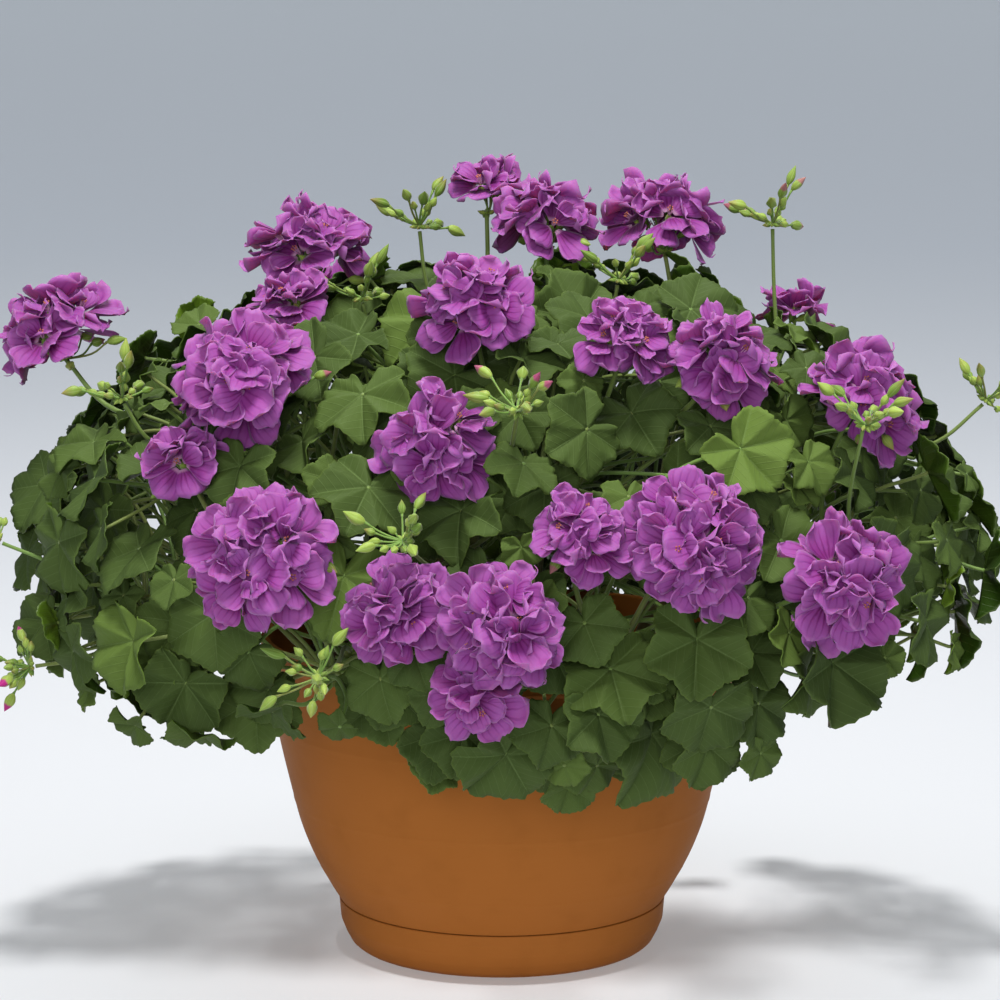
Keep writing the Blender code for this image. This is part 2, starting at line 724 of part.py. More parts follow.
def add_pot(material):
    """Bowl with a foot, a shoulder, a flaring wall, a rim bead and drain holes."""
    outer = foot_profile() + bowl_profile()
    bead = POT_HEIGHT - RIM_BEAD_HEIGHT
    rim = [(RIM_RADIUS + RIM_BEAD, bead), (RIM_RADIUS + RIM_BEAD, POT_HEIGHT - 0.001),
           (RIM_RADIUS + RIM_BEAD - 0.001, POT_HEIGHT), (RIM_RADIUS - WALL, POT_HEIGHT)]
    floor = outer[0][1]
    outline = [(0.0, floor + WALL)] + inner_profile() + rim[::-1] + outer[::-1] + [(0.0, floor)]
    pot = turned("pot", outline, material)
    places = []
    for index in range(DRAIN_HOLES):
        turn = 2.0 * math.pi * index / DRAIN_HOLES
        places.append((DRAIN_CIRCLE * math.cos(turn), DRAIN_CIRCLE * math.sin(turn)))
    cut(pot, peg_cutter("drain_cutter", places, DRAIN_RADIUS, 0.0, 0.0095, 10), "Drain holes")
    return pot


def inner_profile():
    """Inner side of the pot from its floor up to the rim, a wall in from the outer side."""
    foot = foot_profile()
    points = [(foot[0][0] - WALL, foot[0][1] + WALL), (foot[1][0] - WALL, foot[1][1])]
    for radius, height in bowl_profile()[1:]:
        points.append((radius - WALL, height))
    return points


def add_soil(shoots, material):
    """Soil that fills the pot to its level, with a socket for each stem."""
    inside = inner_profile()
    floor = (inside[0][0] - FIT, inside[0][1] + FIT)
    sides = []
    for radius, height in inside[1:]:
        if height < SOIL_HEIGHT:
            sides.append((radius - FIT, height))
    top = bowl_radius(SOIL_HEIGHT) - WALL - FIT
    profile = [(0.0, SOIL_HEIGHT + SOIL_CROWN), (top * 0.6, SOIL_HEIGHT + SOIL_CROWN * 0.7),
               (top, SOIL_HEIGHT)] + sides[::-1] + [floor, (0.0, floor[1])]
    soil = turned("potting_soil", profile, material)
    places = [(shoot.line.points[0].x, shoot.line.points[0].y) for shoot in shoots]
    radius = (SHOOT_BASE_RADIUS + FIT) / math.cos(math.pi / 8)
    low = SOIL_HEIGHT - SOCKET_DEPTH - FIT
    cut(soil, peg_cutter("socket_cutter", places, radius, low, POT_HEIGHT, 8), "Stem sockets")
    return soil


def ring_round(work, point, side, other, radius, sides):
    """Ring of vertices round a point in the plane of two directions."""
    ring = []
    for index in range(sides):
        turn = 2.0 * math.pi * index / sides
        ring.append(work.verts.new(point + (side * math.cos(turn) + other * math.sin(turn)) * radius))
    return ring


def skin(work, low, high):
    """Faces between two rings with the same number of vertices."""
    faces = []
    for index in range(len(low)):
        after = (index + 1) % len(low)
        faces.append(work.faces.new((low[index], low[after], high[after], high[index])))
    return faces


def grow_branch(work, face, branch):
    """Grow a petiole or stalk out of a face of the stem and finish it."""
    corners = list(face.verts)
    line = branch.line
    _, way, _ = line.at(0.0)
    middle = sum((corner.co for corner in corners), Vector()) / 4
    first = across(corners[0].co - middle, way)
    twist = Line(line.points, side=first)
    signs = []
    for corner in corners:
        offset = across(corner.co - middle, way)
        signs.append(math.atan2(way.cross(first).dot(offset), first.dot(offset)))
    work.faces.remove(face)
    ring = corners
    for mark in line.marks[1:]:
        point, tangent, side = twist.at(mark)
        if mark == line.length:
            side = tangent.rotation_difference(branch.end_way) @ side
            tangent = branch.end_way
        other = tangent.cross(side)
        after = []
        for sign in signs:
            way_out = side * math.cos(sign) + other * math.sin(sign)
            after.append(work.verts.new(point + way_out * branch.radius * 1.3))
        skin(work, ring, after)
        ring = after
    if branch.leaf:
        close_blade(work, ring, branch.leaf)
    else:
        work.faces.new(ring)


def close_blade(work, ring, leaf):
    """Spread the end of a petiole out into a blade."""
    side = leaf.normal.cross(leaf.tip)

    def angle(point):
        offset = point - leaf.point
        return math.degrees(math.atan2(offset.dot(side), offset.dot(leaf.tip))) % 360.0

    edge = [(turn, work.verts.new(leaf.spot(turn, reach))) for turn, reach in leaf.outline()]
    top = work.verts.new(leaf.point + leaf.normal * LEAF_THICKNESS * 0.4)
    inner = sorted(((angle(corner.co), corner) for corner in ring), key=lambda item: item[0])
    count = len(edge)
    for index in range(count):
        after = (index + 1) % count
        work.faces.new((edge[index][1], edge[after][1], top))

    def nearest(turn):
        gaps = [abs((turn - mark + 180.0) % 360.0 - 180.0) for mark, _ in inner]
        return gaps.index(min(gaps))

    for index in range(count):
        after = (index + 1) % count
        middle = edge[index][0] + ((edge[after][0] - edge[index][0]) % 360.0) / 2
        spoke = nearest(middle)
        work.faces.new((edge[after][1], edge[index][1], inner[spoke][1]))
        following = edge[after][0] + ((edge[(after + 1) % count][0] - edge[after][0]) % 360.0) / 2
        next_spoke = nearest(following)
        while spoke != next_spoke:
            step = (spoke + 1) % len(inner)
            work.faces.new((edge[after][1], inner[spoke][1], inner[step][1]))
            spoke = step


def add_shoot(shoot, material):
    """One shoot: its stem, petioles, leaves and stalks grown as one body."""
    work = bmesh.new()
    line = shoot.line
    stops = [(0.0, 1.0), (SOCKET_DEPTH + 0.004, 1.0)]
    for node in range(len(SHOOT_NODES)):
        middle = shoot.node_distance(node)
        stops.append((middle - NODE_HEIGHT / 2, NODE_SWELL))
        stops.append((middle + NODE_HEIGHT / 2, NODE_SWELL))
    stops.insert(2, (stops[2][0] * 0.55, 1.0))
    stops.append((line.length, 0.8))
    rings = []
    for distance, swell in stops:
        point, tangent, side = line.at(distance)
        radius = shoot.radius(distance) * swell
        rings.append(ring_round(work, point, side, tangent.cross(side), radius, SHOOT_SIDES))
    bands = [skin(work, low, high) for low, high in zip(rings, rings[1:])]
    work.faces.new(rings[0][::-1])
    work.faces.new(rings[-1])
    for branch in shoot.branches:
        face = bands[3 + 2 * branch.node][branch.side]
        grow_branch(work, face, branch)
    return add_object(f"shoot_{shoot.number + 1:02d}", work, material)


def add_head(number, centre, axis, radius, material):
    """One flower head: a lumpy dome of florets over the cone of their pedicels."""
    chance = random.Random(100 + number)
    work = bmesh.new()
    side = across(Vector((0.3, 1.0, 0.1)), axis)
    other = axis.cross(side)
    rings = []
    for height, reach in HEAD_PROFILE:
        ring = []
        for index in range(HEAD_SIDES):
            turn = 2.0 * math.pi * (index + 0.5 * (len(rings) % 2)) / HEAD_SIDES
            lump = 1.0 + (chance.uniform(-1, 1) * HEAD_LUMPS if rings else 0.0)
            rise = height + (chance.uniform(-0.4, 0.4) * HEAD_LUMPS if rings else 0.0)
            way = side * math.cos(turn) + other * math.sin(turn)
            ring.append(work.verts.new(centre + (way * reach * lump + axis * rise) * radius))
        rings.append(ring)
    for low, high in zip(rings, rings[1:]):
        skin(work, low, high)
    work.faces.new(rings[0][::-1])
    top = work.verts.new(centre + axis * HEAD_TOP * radius)
    for index in range(HEAD_SIDES):
        work.faces.new((rings[-1][index], rings[-1][(index + 1) % HEAD_SIDES], top))
    return add_object(f"flower_head_{number + 1:02d}", work, material)


def bud_ways(axis, count, seed):
    """Directions of a cluster's pedicels, spread round its axis."""
    chance = random.Random(seed)
    side = across(Vector((1.0, 0.3, 0.2)), axis)
    other = axis.cross(side)
    ways = []
    for index in range(count):
        lean = math.radians(22.0 + 78.0 * ((index * 0.618) % 1.0))
        turn = math.radians(index * 137.5 + chance.uniform(-12, 12))
        flat = side * math.cos(turn) + other * math.sin(turn)
        ways.append((axis * math.cos(lean) + flat * math.sin(lean)).normalized())
    return ways


def add_bud_cluster(number, hub, axis, count, material):
    """One cluster of closed buds on pedicels that leave a round hub."""
    work = bmesh.new()
    bmesh.ops.create_cube(work, size=1.0)
    bmesh.ops.subdivide_edges(work, edges=list(work.edges), cuts=1, use_grid_fill=True)
    for vertex in work.verts:
        vertex.co = hub + vertex.co.normalized() * HUB_RADIUS
    free = list(work.faces)
    for way in bud_ways(axis, count, 300 + number):
        free.sort(key=lambda face: (face.calc_center_median() - hub).normalized().dot(way))
        face = free.pop()
        corners = list(face.verts)
        start = face.calc_center_median()
        first = across(corners[0].co - start, way)
        other = way.cross(first)
        signs = []
        for corner in corners:
            offset = corner.co - start
            signs.append(math.atan2(other.dot(offset), first.dot(offset)))
        work.faces.remove(face)
        ring = corners
        stops = ((BUD_REACH, PEDICEL_RADIUS * 1.3),
                 (BUD_REACH + BUD_LENGTH * 0.35, BUD_RADIUS), (BUD_REACH + BUD_LENGTH, BUD_RADIUS * 0.2))
        for distance, radius in stops:
            after = []
            for sign in signs:
                spoke = first * math.cos(sign) + other * math.sin(sign)
                after.append(work.verts.new(hub + way * distance + spoke * radius))
            skin(work, ring, after)
            ring = after
        work.faces.new(ring)
    return add_object(f"bud_cluster_{number + 1:02d}", work, material)


def build():
    """Make every piece of the potted plant."""
    clear_scene()
    shoots, heads, buds = lay_out()
    terracotta = make_material("terracotta_plastic", (0.25, 0.09, 0.025), 0.45)
    earth = make_material("potting_soil", (0.03, 0.018, 0.01), 0.95)
    green = make_material("leaf_green", (0.05, 0.13, 0.03), 0.5)
    purple = make_material("petal_purple", (0.38, 0.05, 0.40), 0.55)
    bud_green = make_material("bud_green", (0.12, 0.25, 0.05), 0.55)
    add_saucer(terracotta)
    add_pot(terracotta)
    add_soil(shoots, earth)
    for shoot in shoots:
        add_shoot(shoot, green)
    for number, (centre, axis, radius) in enumerate(heads):
        add_head(number, centre, axis, radius, purple)
    for number, (hub, axis, count) in enumerate(buds):
        add_bud_cluster(number, hub, axis, count, bud_green)


build()
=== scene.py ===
"""Looks of the potted ivy geranium: fine leaves, florets, buds, stems, pot and soil.

The plant is laid out by the same rules and sizes as the CAD model, so every fine piece
stands where its solid does. More leaves fill the room between the modelled ones.
Metres, +Z up, the front faces -Y.
"""

import json
import math
import random

import bpy
import numpy as np
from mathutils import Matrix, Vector
from mathutils.bvhtree import BVHTree

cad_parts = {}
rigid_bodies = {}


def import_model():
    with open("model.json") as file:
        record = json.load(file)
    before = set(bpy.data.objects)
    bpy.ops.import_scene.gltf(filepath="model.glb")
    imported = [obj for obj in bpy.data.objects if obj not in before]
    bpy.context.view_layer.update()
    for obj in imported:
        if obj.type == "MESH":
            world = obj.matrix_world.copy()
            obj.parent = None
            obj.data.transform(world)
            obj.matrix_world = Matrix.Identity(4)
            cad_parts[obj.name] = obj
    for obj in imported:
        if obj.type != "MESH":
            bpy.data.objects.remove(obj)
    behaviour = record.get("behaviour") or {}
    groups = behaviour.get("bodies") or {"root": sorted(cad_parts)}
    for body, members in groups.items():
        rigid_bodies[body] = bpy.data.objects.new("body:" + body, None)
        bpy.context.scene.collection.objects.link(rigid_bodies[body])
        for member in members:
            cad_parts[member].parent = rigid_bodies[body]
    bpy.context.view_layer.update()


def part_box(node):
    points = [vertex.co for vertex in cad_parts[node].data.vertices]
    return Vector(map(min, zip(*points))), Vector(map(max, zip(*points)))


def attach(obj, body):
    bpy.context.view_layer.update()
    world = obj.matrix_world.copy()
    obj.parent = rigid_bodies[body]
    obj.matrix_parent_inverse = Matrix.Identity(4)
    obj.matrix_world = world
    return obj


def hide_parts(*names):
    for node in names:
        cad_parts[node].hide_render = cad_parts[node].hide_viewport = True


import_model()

PLANT = bpy.data.collections.new("plant")
STAGE = bpy.data.collections.new("stage")
SHADERS = bpy.data.collections.new("shaders")

# Pot and saucer
RIM_RADIUS = 0.155
POT_HEIGHT = 0.206
WALL = 0.003
FIT = 0.0003
SAUCER_HEIGHT = 0.030
SAUCER_RADIUS = 0.1075
SAUCER_FOOT_RADIUS = 0.0995
SAUCER_FLOOR = 0.0025
RIM_BEAD = 0.0022
RIM_BEAD_HEIGHT = 0.010
SHOULDER_STEP = 0.0008
BOWL_CURVE = ((0.00, 0.0), (0.07, 0.157), (0.18, 0.368), (0.29, 0.525), (0.40, 0.632), (0.60, 0.802),
              (0.74, 0.890), (0.945, 0.980))

# Soil
SOIL_BELOW_RIM = 0.024
SOIL_HEIGHT = POT_HEIGHT - SOIL_BELOW_RIM
SOIL_CROWN = 0.003
SOCKET_DEPTH = 0.015

# Mound of foliage
MOUND_OVER_RIM = 0.036
MOUND_HEIGHT = POT_HEIGHT + MOUND_OVER_RIM
MOUND_HALF_WIDTH = 0.310
MOUND_HALF_DEPTH = 0.270
MOUND_RISE = 0.195
MOUND_DROP = 0.128
MOUND_ROUNDNESS = 2.4

# Shoots: elevation of the tip, how many, first azimuth, how far from the axis they are rooted
SHOOT_RINGS = ((-6, 8, 22, 0.098), (27, 5, 12, 0.058), (64, 4, 40, 0.026))
SHOOT_DEPTH = 0.060
SHOOT_SIDES = 6
SHOOT_BASE_RADIUS = 0.0042
SHOOT_TIP_RADIUS = 0.0026
SHOOT_NODES = (0.40, 0.55, 0.68, 0.80, 0.91)
NODE_SWELL = 1.2
PETIOLE_RADIUS = 0.0013
PETIOLE_LENGTH = 0.062
STALK_RADIUS = 0.0016
STALK_LENGTH = 0.110

# Leaves
LEAF_LENGTH = 0.037
LEAF_THICKNESS = 0.0016
LEAF_COUNT = 190
LEAF_ROOM = 0.0012
LEAF_TILT = 0.42
LOWEST_LEAF = -0.42
HEM = ((-180, -0.064), (-150, -0.079), (-120, -0.044), (-90, -0.004), (-66, -0.030), (-50, -0.036),
       (-36, -0.054), (-27, -0.014), (-19, -0.028), (-12, -0.084), (6, -0.102), (24, -0.092),
       (34, -0.078), (44, -0.042), (56, -0.010), (75, 0.004), (90, 0.008), (120, -0.044),
       (150, -0.084), (180, -0.064))
LEAF_SPOTS = 700
EVEN_STEPS = (0.7548776662, 0.5698402910)
PETIOLE_STUB = 0.020
STALK_COLUMN = 0.050
BRANCH_TRIES = 60
HANDLE_SHARES = ((0.28, 0.35), (0.45, 0.30), (0.20, 0.60))
LAYOUT_SEED = 21
LOOSE_END = 0.009
BRANCH_STOPS = (0.0, 0.08, 0.40, 0.72, 1.0)
COLUMN = "column kept free for a stalk"
STUB = "stub kept free for a petiole"
BLADE_OUTLINE = ((0, 1.00), (31, 0.86), (62, 0.98), (93, 0.76), (122, 0.82), (153, 0.58),
                 (180, 0.20))

# Flower heads: azimuth, elevation, height over the mound, radius, how upright they stand
HEADS = (
    (-90, 61, 0.034, 0.041, 0.9), (-86, 30, 0.055, 0.038, 0.6), (-39, 33, 0.028, 0.048, 0.4),
    (-58, 50, 0.010, 0.027, 0.5), (90, 83, 0.040, 0.033, 0.8), (-168, 79, 0.056, 0.026, 0.8),
    (-6, 51, 0.030, 0.038, 0.4), (122, 61, 0.048, 0.040, 0.9), (22, 42, 0.022, 0.030, 0.3),
    (35, 36, 0.028, 0.031, 0.3), (55, 28, 0.022, 0.038, 0.4), (110, 38, 0.004, 0.021, 0.5),
    (-9, 27, 0.018, 0.034, 0.3), (-27, 12, 0.034, 0.048, 0.2), (22, 14, 0.030, 0.044, 0.2),
    (9, 15, 0.020, 0.026, 0.2), (38, 8, 0.032, 0.038, 0.2), (-12, 6, 0.018, 0.030, 0.2),
    (0, 5, 0.036, 0.036, 0.2), (-3, -3, 0.024, 0.020, 0.1), (-43, 21, 0.008, 0.022, 0.5),
    (150, 26, 0.020, 0.044, 0.5), (-150, 33, 0.020, 0.044, 0.5), (178, 12, 0.030, 0.044, 0.3),
    (135, 10, 0.024, 0.040, 0.3), (-138, 11, 0.024, 0.042, 0.3),
)
HEAD_PROFILE = ((-0.62, 0.09), (-0.22, 0.76), (0.10, 1.00), (0.42, 0.82), (0.64, 0.42))
HEAD_TOP = 0.72

# Bud clusters: azimuth, elevation, height over the mound, how upright they stand, buds
BUD_CLUSTERS = (
    (-90, 77, 0.036, 1.0, 9), (-57, 61, 0.000, 0.8, 6), (-63, 27, 0.006, 0.7, 7),
    (2, 30, 0.030, 0.4, 7), (-11, 14, 0.034, 0.3, 6), (68, 68, 0.006, 0.5, 6),
    (90, 53, 0.060, 1.0, 9), (43, 23, 0.050, 0.6, 7), (-79, 6, 0.016, 0.2, 6),
    (-71, -7, 0.006, 0.1, 7), (-20, -1, 0.030, 0.1, 6), (86, 21, 0.036, 0.5, 8),
)
HUB_RADIUS = 0.0032
BUD_REACH = 0.019
BUD_LENGTH = 0.012
BUD_RADIUS = 0.0030
PEDICEL_RADIUS = 0.0007

# Leaves set one by one: azimuth, elevation, height over the mound, length, turn of the tip
SET_LEAVES = (
    (-32, -3, 0.004, 0.040, 10), (-46, 0, 0.000, 0.036, -20), (24, -15, -0.036, 0.047, 0),
    (4, -20, -0.028, 0.034, -15), (32, 24, 0.010, 0.033, 20), (4, 45, -0.004, 0.030, 40),
    (27, 57, -0.004, 0.030, -30), (13, 30, -0.004, 0.032, 10), (50, 9, 0.000, 0.040, 0),
    (55, 1, 0.000, 0.037, 20), (41, -2, -0.002, 0.040, -10), (-18, 21, -0.002, 0.036, 0),
    (-58, 17, 0.000, 0.035, 15), (-6, 19, -0.008, 0.034, -25), (-37, 3, -0.004, 0.036, 10),
    (-56, -17, -0.045, 0.036, 0), (-72, -13, -0.020, 0.033, 0), (24, 2, -0.004, 0.037, -10),
    (63, 17, 0.000, 0.037, 10), (12, -7, 0.000, 0.030, 20), (-11, -16, -0.040, 0.033, 10),
    (7, 12, -0.012, 0.034, 0), (41, 20, 0.000, 0.036, -20), (-61, 9, 0.000, 0.037, 0),
    (53, -15, -0.060, 0.034, 0), (-22, -12, -0.030, 0.034, -15), (-88, -8, 0.000, 0.038, 0),
    (88, -6, 0.000, 0.038, 0), (72, 4, 0.004, 0.038, -10), (-80, 14, 0.000, 0.036, 20),
    (38, -14, -0.040, 0.036, 10), (-38, -14, -0.036, 0.036, 0),
)

# Leaves added between the modelled ones: depth under the mound, shortest and longest
# share of a full leaf, how many
EXTRA_LEAVES = ((0.000, 0.40, 0.80, 110), (-0.016, 0.50, 1.00, 140), (-0.040, 0.70, 1.00, 170))
EXTRA_SPOTS = 1500

# Fine leaves
LEAF_SPOKES = 96
LEAF_ROWS = 9
LEAF_TEETH = 36
LEAF_TOOTH_DEPTH = 0.050
LEAF_QUILT = 0.30
LEAF_SIDE_FOLD = 0.010
LEAF_RUFFLE = 0.045
LEAF_SHEET = 0.0005
VEIN_ANGLES = (0, 62, 122, 180)

# Florets
FLORETS_PER_HEAD = 11
FLORET_RADIUS = 0.0262
FLORET_SPREAD = 112
PETAL_ROWS = 9
PETAL_COLUMNS = 8
PETAL_WIDTH = 0.50
PETAL_NOTCH = 0.07
PETAL_SHEET = 0.0003
PETAL_SHAPE = ((0.00, 0.14), (0.14, 0.34), (0.30, 0.64), (0.48, 0.90), (0.64, 1.00), (0.80, 0.98),
               (0.92, 0.80), (1.00, 0.46))
CALYX_LENGTH = 0.008
CALYX_RADIUS = 0.0022

# Buds
BUD_SHAPE = ((0.00, 0.30), (0.10, 0.68), (0.28, 0.98), (0.45, 1.00), (0.65, 0.76), (0.85, 0.36),
             (0.95, 0.14), (1.00, 0.02))
BUDS_OPENING = {3: 0.8, 6: 0.6, 8: 1.0, 9: 1.0}

# Tone of leaves set one by one: how young they are and how strong their dark zone is
SET_TINTS = {0: (0.25, 0.3), 2: (0.10, 1.0), 4: (0.85, 0.0), 3: (0.2, 0.2)}

# Pot and soil
POT_SPOKES = 144
POT_RINGS = (0.052, 0.098, 0.150)
POT_RING_HEIGHT = 0.00035
SOIL_LUMPS = 700

# Stage: floor, its tones by distance from the pot's axis (painted light: paler near the pot and
# darker far off), surround, depths whose pieces shade the floor, and lamps as name, kind, place,
# target, size, power, colour and what they light
FLOOR_RADII = (0.0, 0.15, 0.4, 0.8, 1.5, 3.0, 6.0, 10.0, 14.0, 18.0)
FLOOR_BEND = 12.0
FLOOR_STEPS = 12
FLOOR_SPOKES = 96
FLOOR_FAR = FLOOR_RADII[-1] + FLOOR_BEND
FLOOR_TOP = 20.0
FLOOR_PAINTED_FALLOFF_TONES = ((0.0, (0.82, 0.835, 0.855)), (30.0, (0.64, 0.69, 0.74)), (1.0, (0.78, 0.80, 0.83)),
               (5.0, (0.66, 0.71, 0.78)))
WORLD_COLOUR = (0.95, 0.97, 1.0)
WORLD_STRENGTH = 0.18
SHADOW_BAND = (0.030, 0.140)
LAMPS = (
    ("soft_key", "AREA", (0.10, -0.90, 2.60), (0.0, 0.0, 0.25), 0.8, 76.0, (1.0, 0.99, 0.96), "plant"),
    ("top_back", "AREA", (-0.20, 1.30, 2.30), (0.0, 0.0, 0.30), 1.2, 22.0, (1.0, 1.0, 0.98), "plant"),
    ("front", "AREA", (-0.40, -3.40, 1.30), (0.0, 0.0, 0.20), 1.6, 52.0, (1.0, 0.99, 0.96), "plant"),
    ("shadow_key", "AREA", (0.0, 0.45, 2.80), (0.0, 0.0, 0.25), 0.34, 46.0, (1.0, 0.99, 0.98), "floor"),
    ("floor_fill", "SUN", (0.0, 0.0, 5.0), (0.0, 0.0, 0.0), 1.0, 1.25, (1.0, 1.0, 1.0), "floor, no shadow"),
)

# Camera: lens and sensor in millimetres, place, degrees it looks down
CAMERA_LENS = 134.6
CAMERA_SENSOR = 36.0
CAMERA_REACH = 100.0
CAMERA_PLACE = (-0.0013, -2.4, 0.6816)
CAMERA_DOWN = 9.2

# Starts of the random draws, and fineness of the small surfaces
HEAD_SEED = 500
CLUSTER_SEED = 800
SHOOT_SEED = 2000
EXTRA_SEED = 77
SOIL_SEED = 61
GOLDEN_TURN = 137.5
STEM_STEPS = 64
BUD_ROWS = 11
BUD_SIDES = 15
SOIL_ROWS = 46
SOIL_SPOKES = 160
POT_CORNER = 0.0009
LAYOUT_SLACK = 0.006

UP = Vector((0.0, 0.0, 1.0))
MOUND_CENTRE = Vector((0.0, 0.0, MOUND_HEIGHT))


# ---------------------------------------------------------------- directions and the mound

def direction(azimuth, elevation):
    """Unit vector for an azimuth from the front and an elevation, both in degrees."""
    turn = math.radians(azimuth)
    lift = math.radians(elevation)
    return Vector((math.sin(turn) * math.cos(lift), -math.cos(turn) * math.cos(lift), math.sin(lift)))


def mound_radius(way):
    """Distance from the mound's centre to its surface in a direction."""
    upright = MOUND_RISE if way.z >= 0.0 else MOUND_DROP
    terms = (way.x / MOUND_HALF_WIDTH, way.y / MOUND_HALF_DEPTH, way.z / upright)
    return sum(abs(term) ** MOUND_ROUNDNESS for term in terms) ** (-1.0 / MOUND_ROUNDNESS)


def mound_point(azimuth, elevation, over):
    """Point at a height over the mound's surface."""
    way = direction(azimuth, elevation)
    return MOUND_CENTRE + way * (mound_radius(way) + over)


def mound_normal(point):
    """Outward direction of the mound's surface near a point."""
    offset = point - MOUND_CENTRE
    upright = MOUND_RISE if offset.z >= 0.0 else MOUND_DROP
    power = MOUND_ROUNDNESS - 1.0
    slopes = []
    for value, size in zip(offset, (MOUND_HALF_WIDTH, MOUND_HALF_DEPTH, upright)):
        slopes.append(math.copysign(abs(value / size) ** power / size, value))
    return Vector(slopes).normalized()


def hem_height(point):
    """Height below which no leaf hangs, at a point's azimuth, from the hem's heights over the rim."""
    azimuth = math.degrees(math.atan2(point.x, -point.y))
    for (start, low), (end, high) in zip(HEM, HEM[1:]):
        if azimuth <= end:
            return POT_HEIGHT + low + (high - low) * (azimuth - start) / (end - start)
    return POT_HEIGHT + HEM[-1][1]


def across(vector, normal):
    """Part of a vector that lies in the plane of a normal, at unit length."""
    flat = vector - normal * vector.dot(normal)
    if flat.length < 1e-6:
        flat = normal.orthogonal()
    return flat.normalized()


# ---------------------------------------------------------------- pot profile

def bowl_profile():
    """Outer side of the bowl from the saucer's edge up to below the rim bead."""
    low = SAUCER_HEIGHT + FIT
    shoulder = SAUCER_RADIUS - SHOULDER_STEP
    return [(shoulder + (RIM_RADIUS - shoulder) * share, low + (POT_HEIGHT - low) * part)
            for part, share in BOWL_CURVE]


def bowl_radius(height):
    """Outer radius of the bowl at a height."""
    points = bowl_profile() + [(RIM_RADIUS, POT_HEIGHT)]
    for (low_radius, low), (high_radius, high) in zip(points, points[1:]):
        if height <= high:
            part = max(0.0, (height - low) / (high - low))
            return low_radius + (high_radius - low_radius) * part
    return RIM_RADIUS


def meets_pot(point, room):
    """Whether a point lies in the pot's wall or in the soil, or within a room of them."""
    radius = math.hypot(point.x, point.y)
    if point.z > POT_HEIGHT + room or radius > bowl_radius(point.z) + RIM_BEAD + room:
        return False
    if point.z > SOIL_HEIGHT + SOIL_CROWN + room:
        return radius > bowl_radius(point.z) - WALL - RIM_BEAD - room
    return True


# ---------------------------------------------------------------- centre lines

class Line:
    """A curved centre line that carries a frame along itself without twisting it."""

    def __init__(self, points, side=None):
        self.points = points
        self.marks = [0.0]
        for start, end in zip(points, points[1:]):
            self.marks.append(self.marks[-1] + (end - start).length)
        self.length = self.marks[-1]
        last = len(points) - 1
        self.tangents = []
        for index in range(len(points)):
            ahead = points[min(index + 1, last)] - points[max(index - 1, 0)]
            self.tangents.append(ahead.normalized())
        first = across(side if side else Vector((1.0, 0.2, 0.0)), self.tangents[0])
        self.sides = [first]
        for before, after in zip(self.tangents, self.tangents[1:]):
            turned = before.rotation_difference(after) @ self.sides[-1]
            self.sides.append(across(turned, after))

    def at(self, distance):
        """Point, tangent and side direction at a distance along the line."""
        index = 0
        while index < len(self.marks) - 2 and self.marks[index + 1] < distance:
            index += 1
        span = self.marks[index + 1] - self.marks[index]
        part = min(1.0, max(0.0, (distance - self.marks[index]) / span))
        point = self.points[index].lerp(self.points[index + 1], part)
        tangent = self.tangents[index].lerp(self.tangents[index + 1], part).normalized()
        side = across(self.sides[index].lerp(self.sides[index + 1], part), tangent)
        return point, tangent, side


def bend(start, start_handle, end_handle, end, stops):
    """Points of a cubic curve between two ends with two handles, at shares of the way along it."""
    points = []
    for t in stops:
        s = 1.0 - t
        points.append(start * s ** 3 + start_handle * (3 * s * s * t)
                      + end_handle * (3 * s * t * t) + end * t ** 3)
    return points


# ---------------------------------------------------------------- what is already placed

class Placed:
    """Shapes already in the plant, for keeping new ones clear of them."""

    def __init__(self):
        self.shapes = []
        self.domes = []

    def add(self, points, faces, owner):
        """Remember a shape as belonging to a shoot."""
        centre = sum(points, Vector()) / len(points)
        radius = max((point - centre).length for point in points)
        self.shapes.append((centre, radius, BVHTree.FromPolygons(points, faces), owner))

    def hits(self, points, faces, only=None, without=()):
        """Whether a shape crosses a remembered one, of one owner only or without some owners."""
        centre = sum(points, Vector()) / len(points)
        radius = max((point - centre).length for point in points)
        tree = None
        for other, reach, other_tree, owner in self.shapes:
            if owner in without or (only is not None and owner != only):
                continue
            if (other - centre).length > reach + radius:
                continue
            tree = tree or BVHTree.FromPolygons(points, faces)
            if tree.overlap(other_tree):
                return True
        return False

    def forget(self, owner):
        """Drop the shapes of an owner."""
        self.shapes = [shape for shape in self.shapes if shape[3] != owner]

    def in_dome(self, points, skip=None):
        """Whether any point lies in a flower head."""
        for number, (centre, axis, radius) in enumerate(self.domes):
            if number == skip:
                continue
            for point in points:
                offset = point - centre
                if offset.length > radius * 1.3:
                    continue
                height = offset.dot(axis) / radius
                reach = (offset - axis * offset.dot(axis)).length / radius
                if reach < dome_reach(height) + 0.12:
                    return True
        return False


def dome_reach(height):
    """Radius of a flower head of radius one at a height over its middle."""
    profile = HEAD_PROFILE + ((HEAD_TOP, 0.0),)
    if height < profile[0][0] - 0.05 or height > HEAD_TOP + 0.05:
        return -1.0
    for (low, low_reach), (high, high_reach) in zip(profile, profile[1:]):
        if height <= high:
            return low_reach + (high_reach - low_reach) * max(0.0, (height - low) / (high - low))
    return 0.0


def tube_shape(line, radius, start, end, steps):
    """Four-sided tube round a line between two distances along it, as points and faces."""
    points = []
    faces = []
    for index in range(steps + 1):
        point, tangent, side = line.at(start + (end - start) * index / steps)
        other = tangent.cross(side)
        for a, b in ((1, 1), (-1, 1), (-1, -1), (1, -1)):
            points.append(point + (side * a + other * b) * radius)
    for index in range(steps):
        for corner in range(4):
            first = index * 4 + corner
            second = index * 4 + (corner + 1) % 4
            faces.append((first, second, second + 4, first + 4))
    faces.append((3, 2, 1, 0))
    faces.append(tuple(steps * 4 + corner for corner in range(4)))
    return points, faces


# ---------------------------------------------------------------- parts of the plant

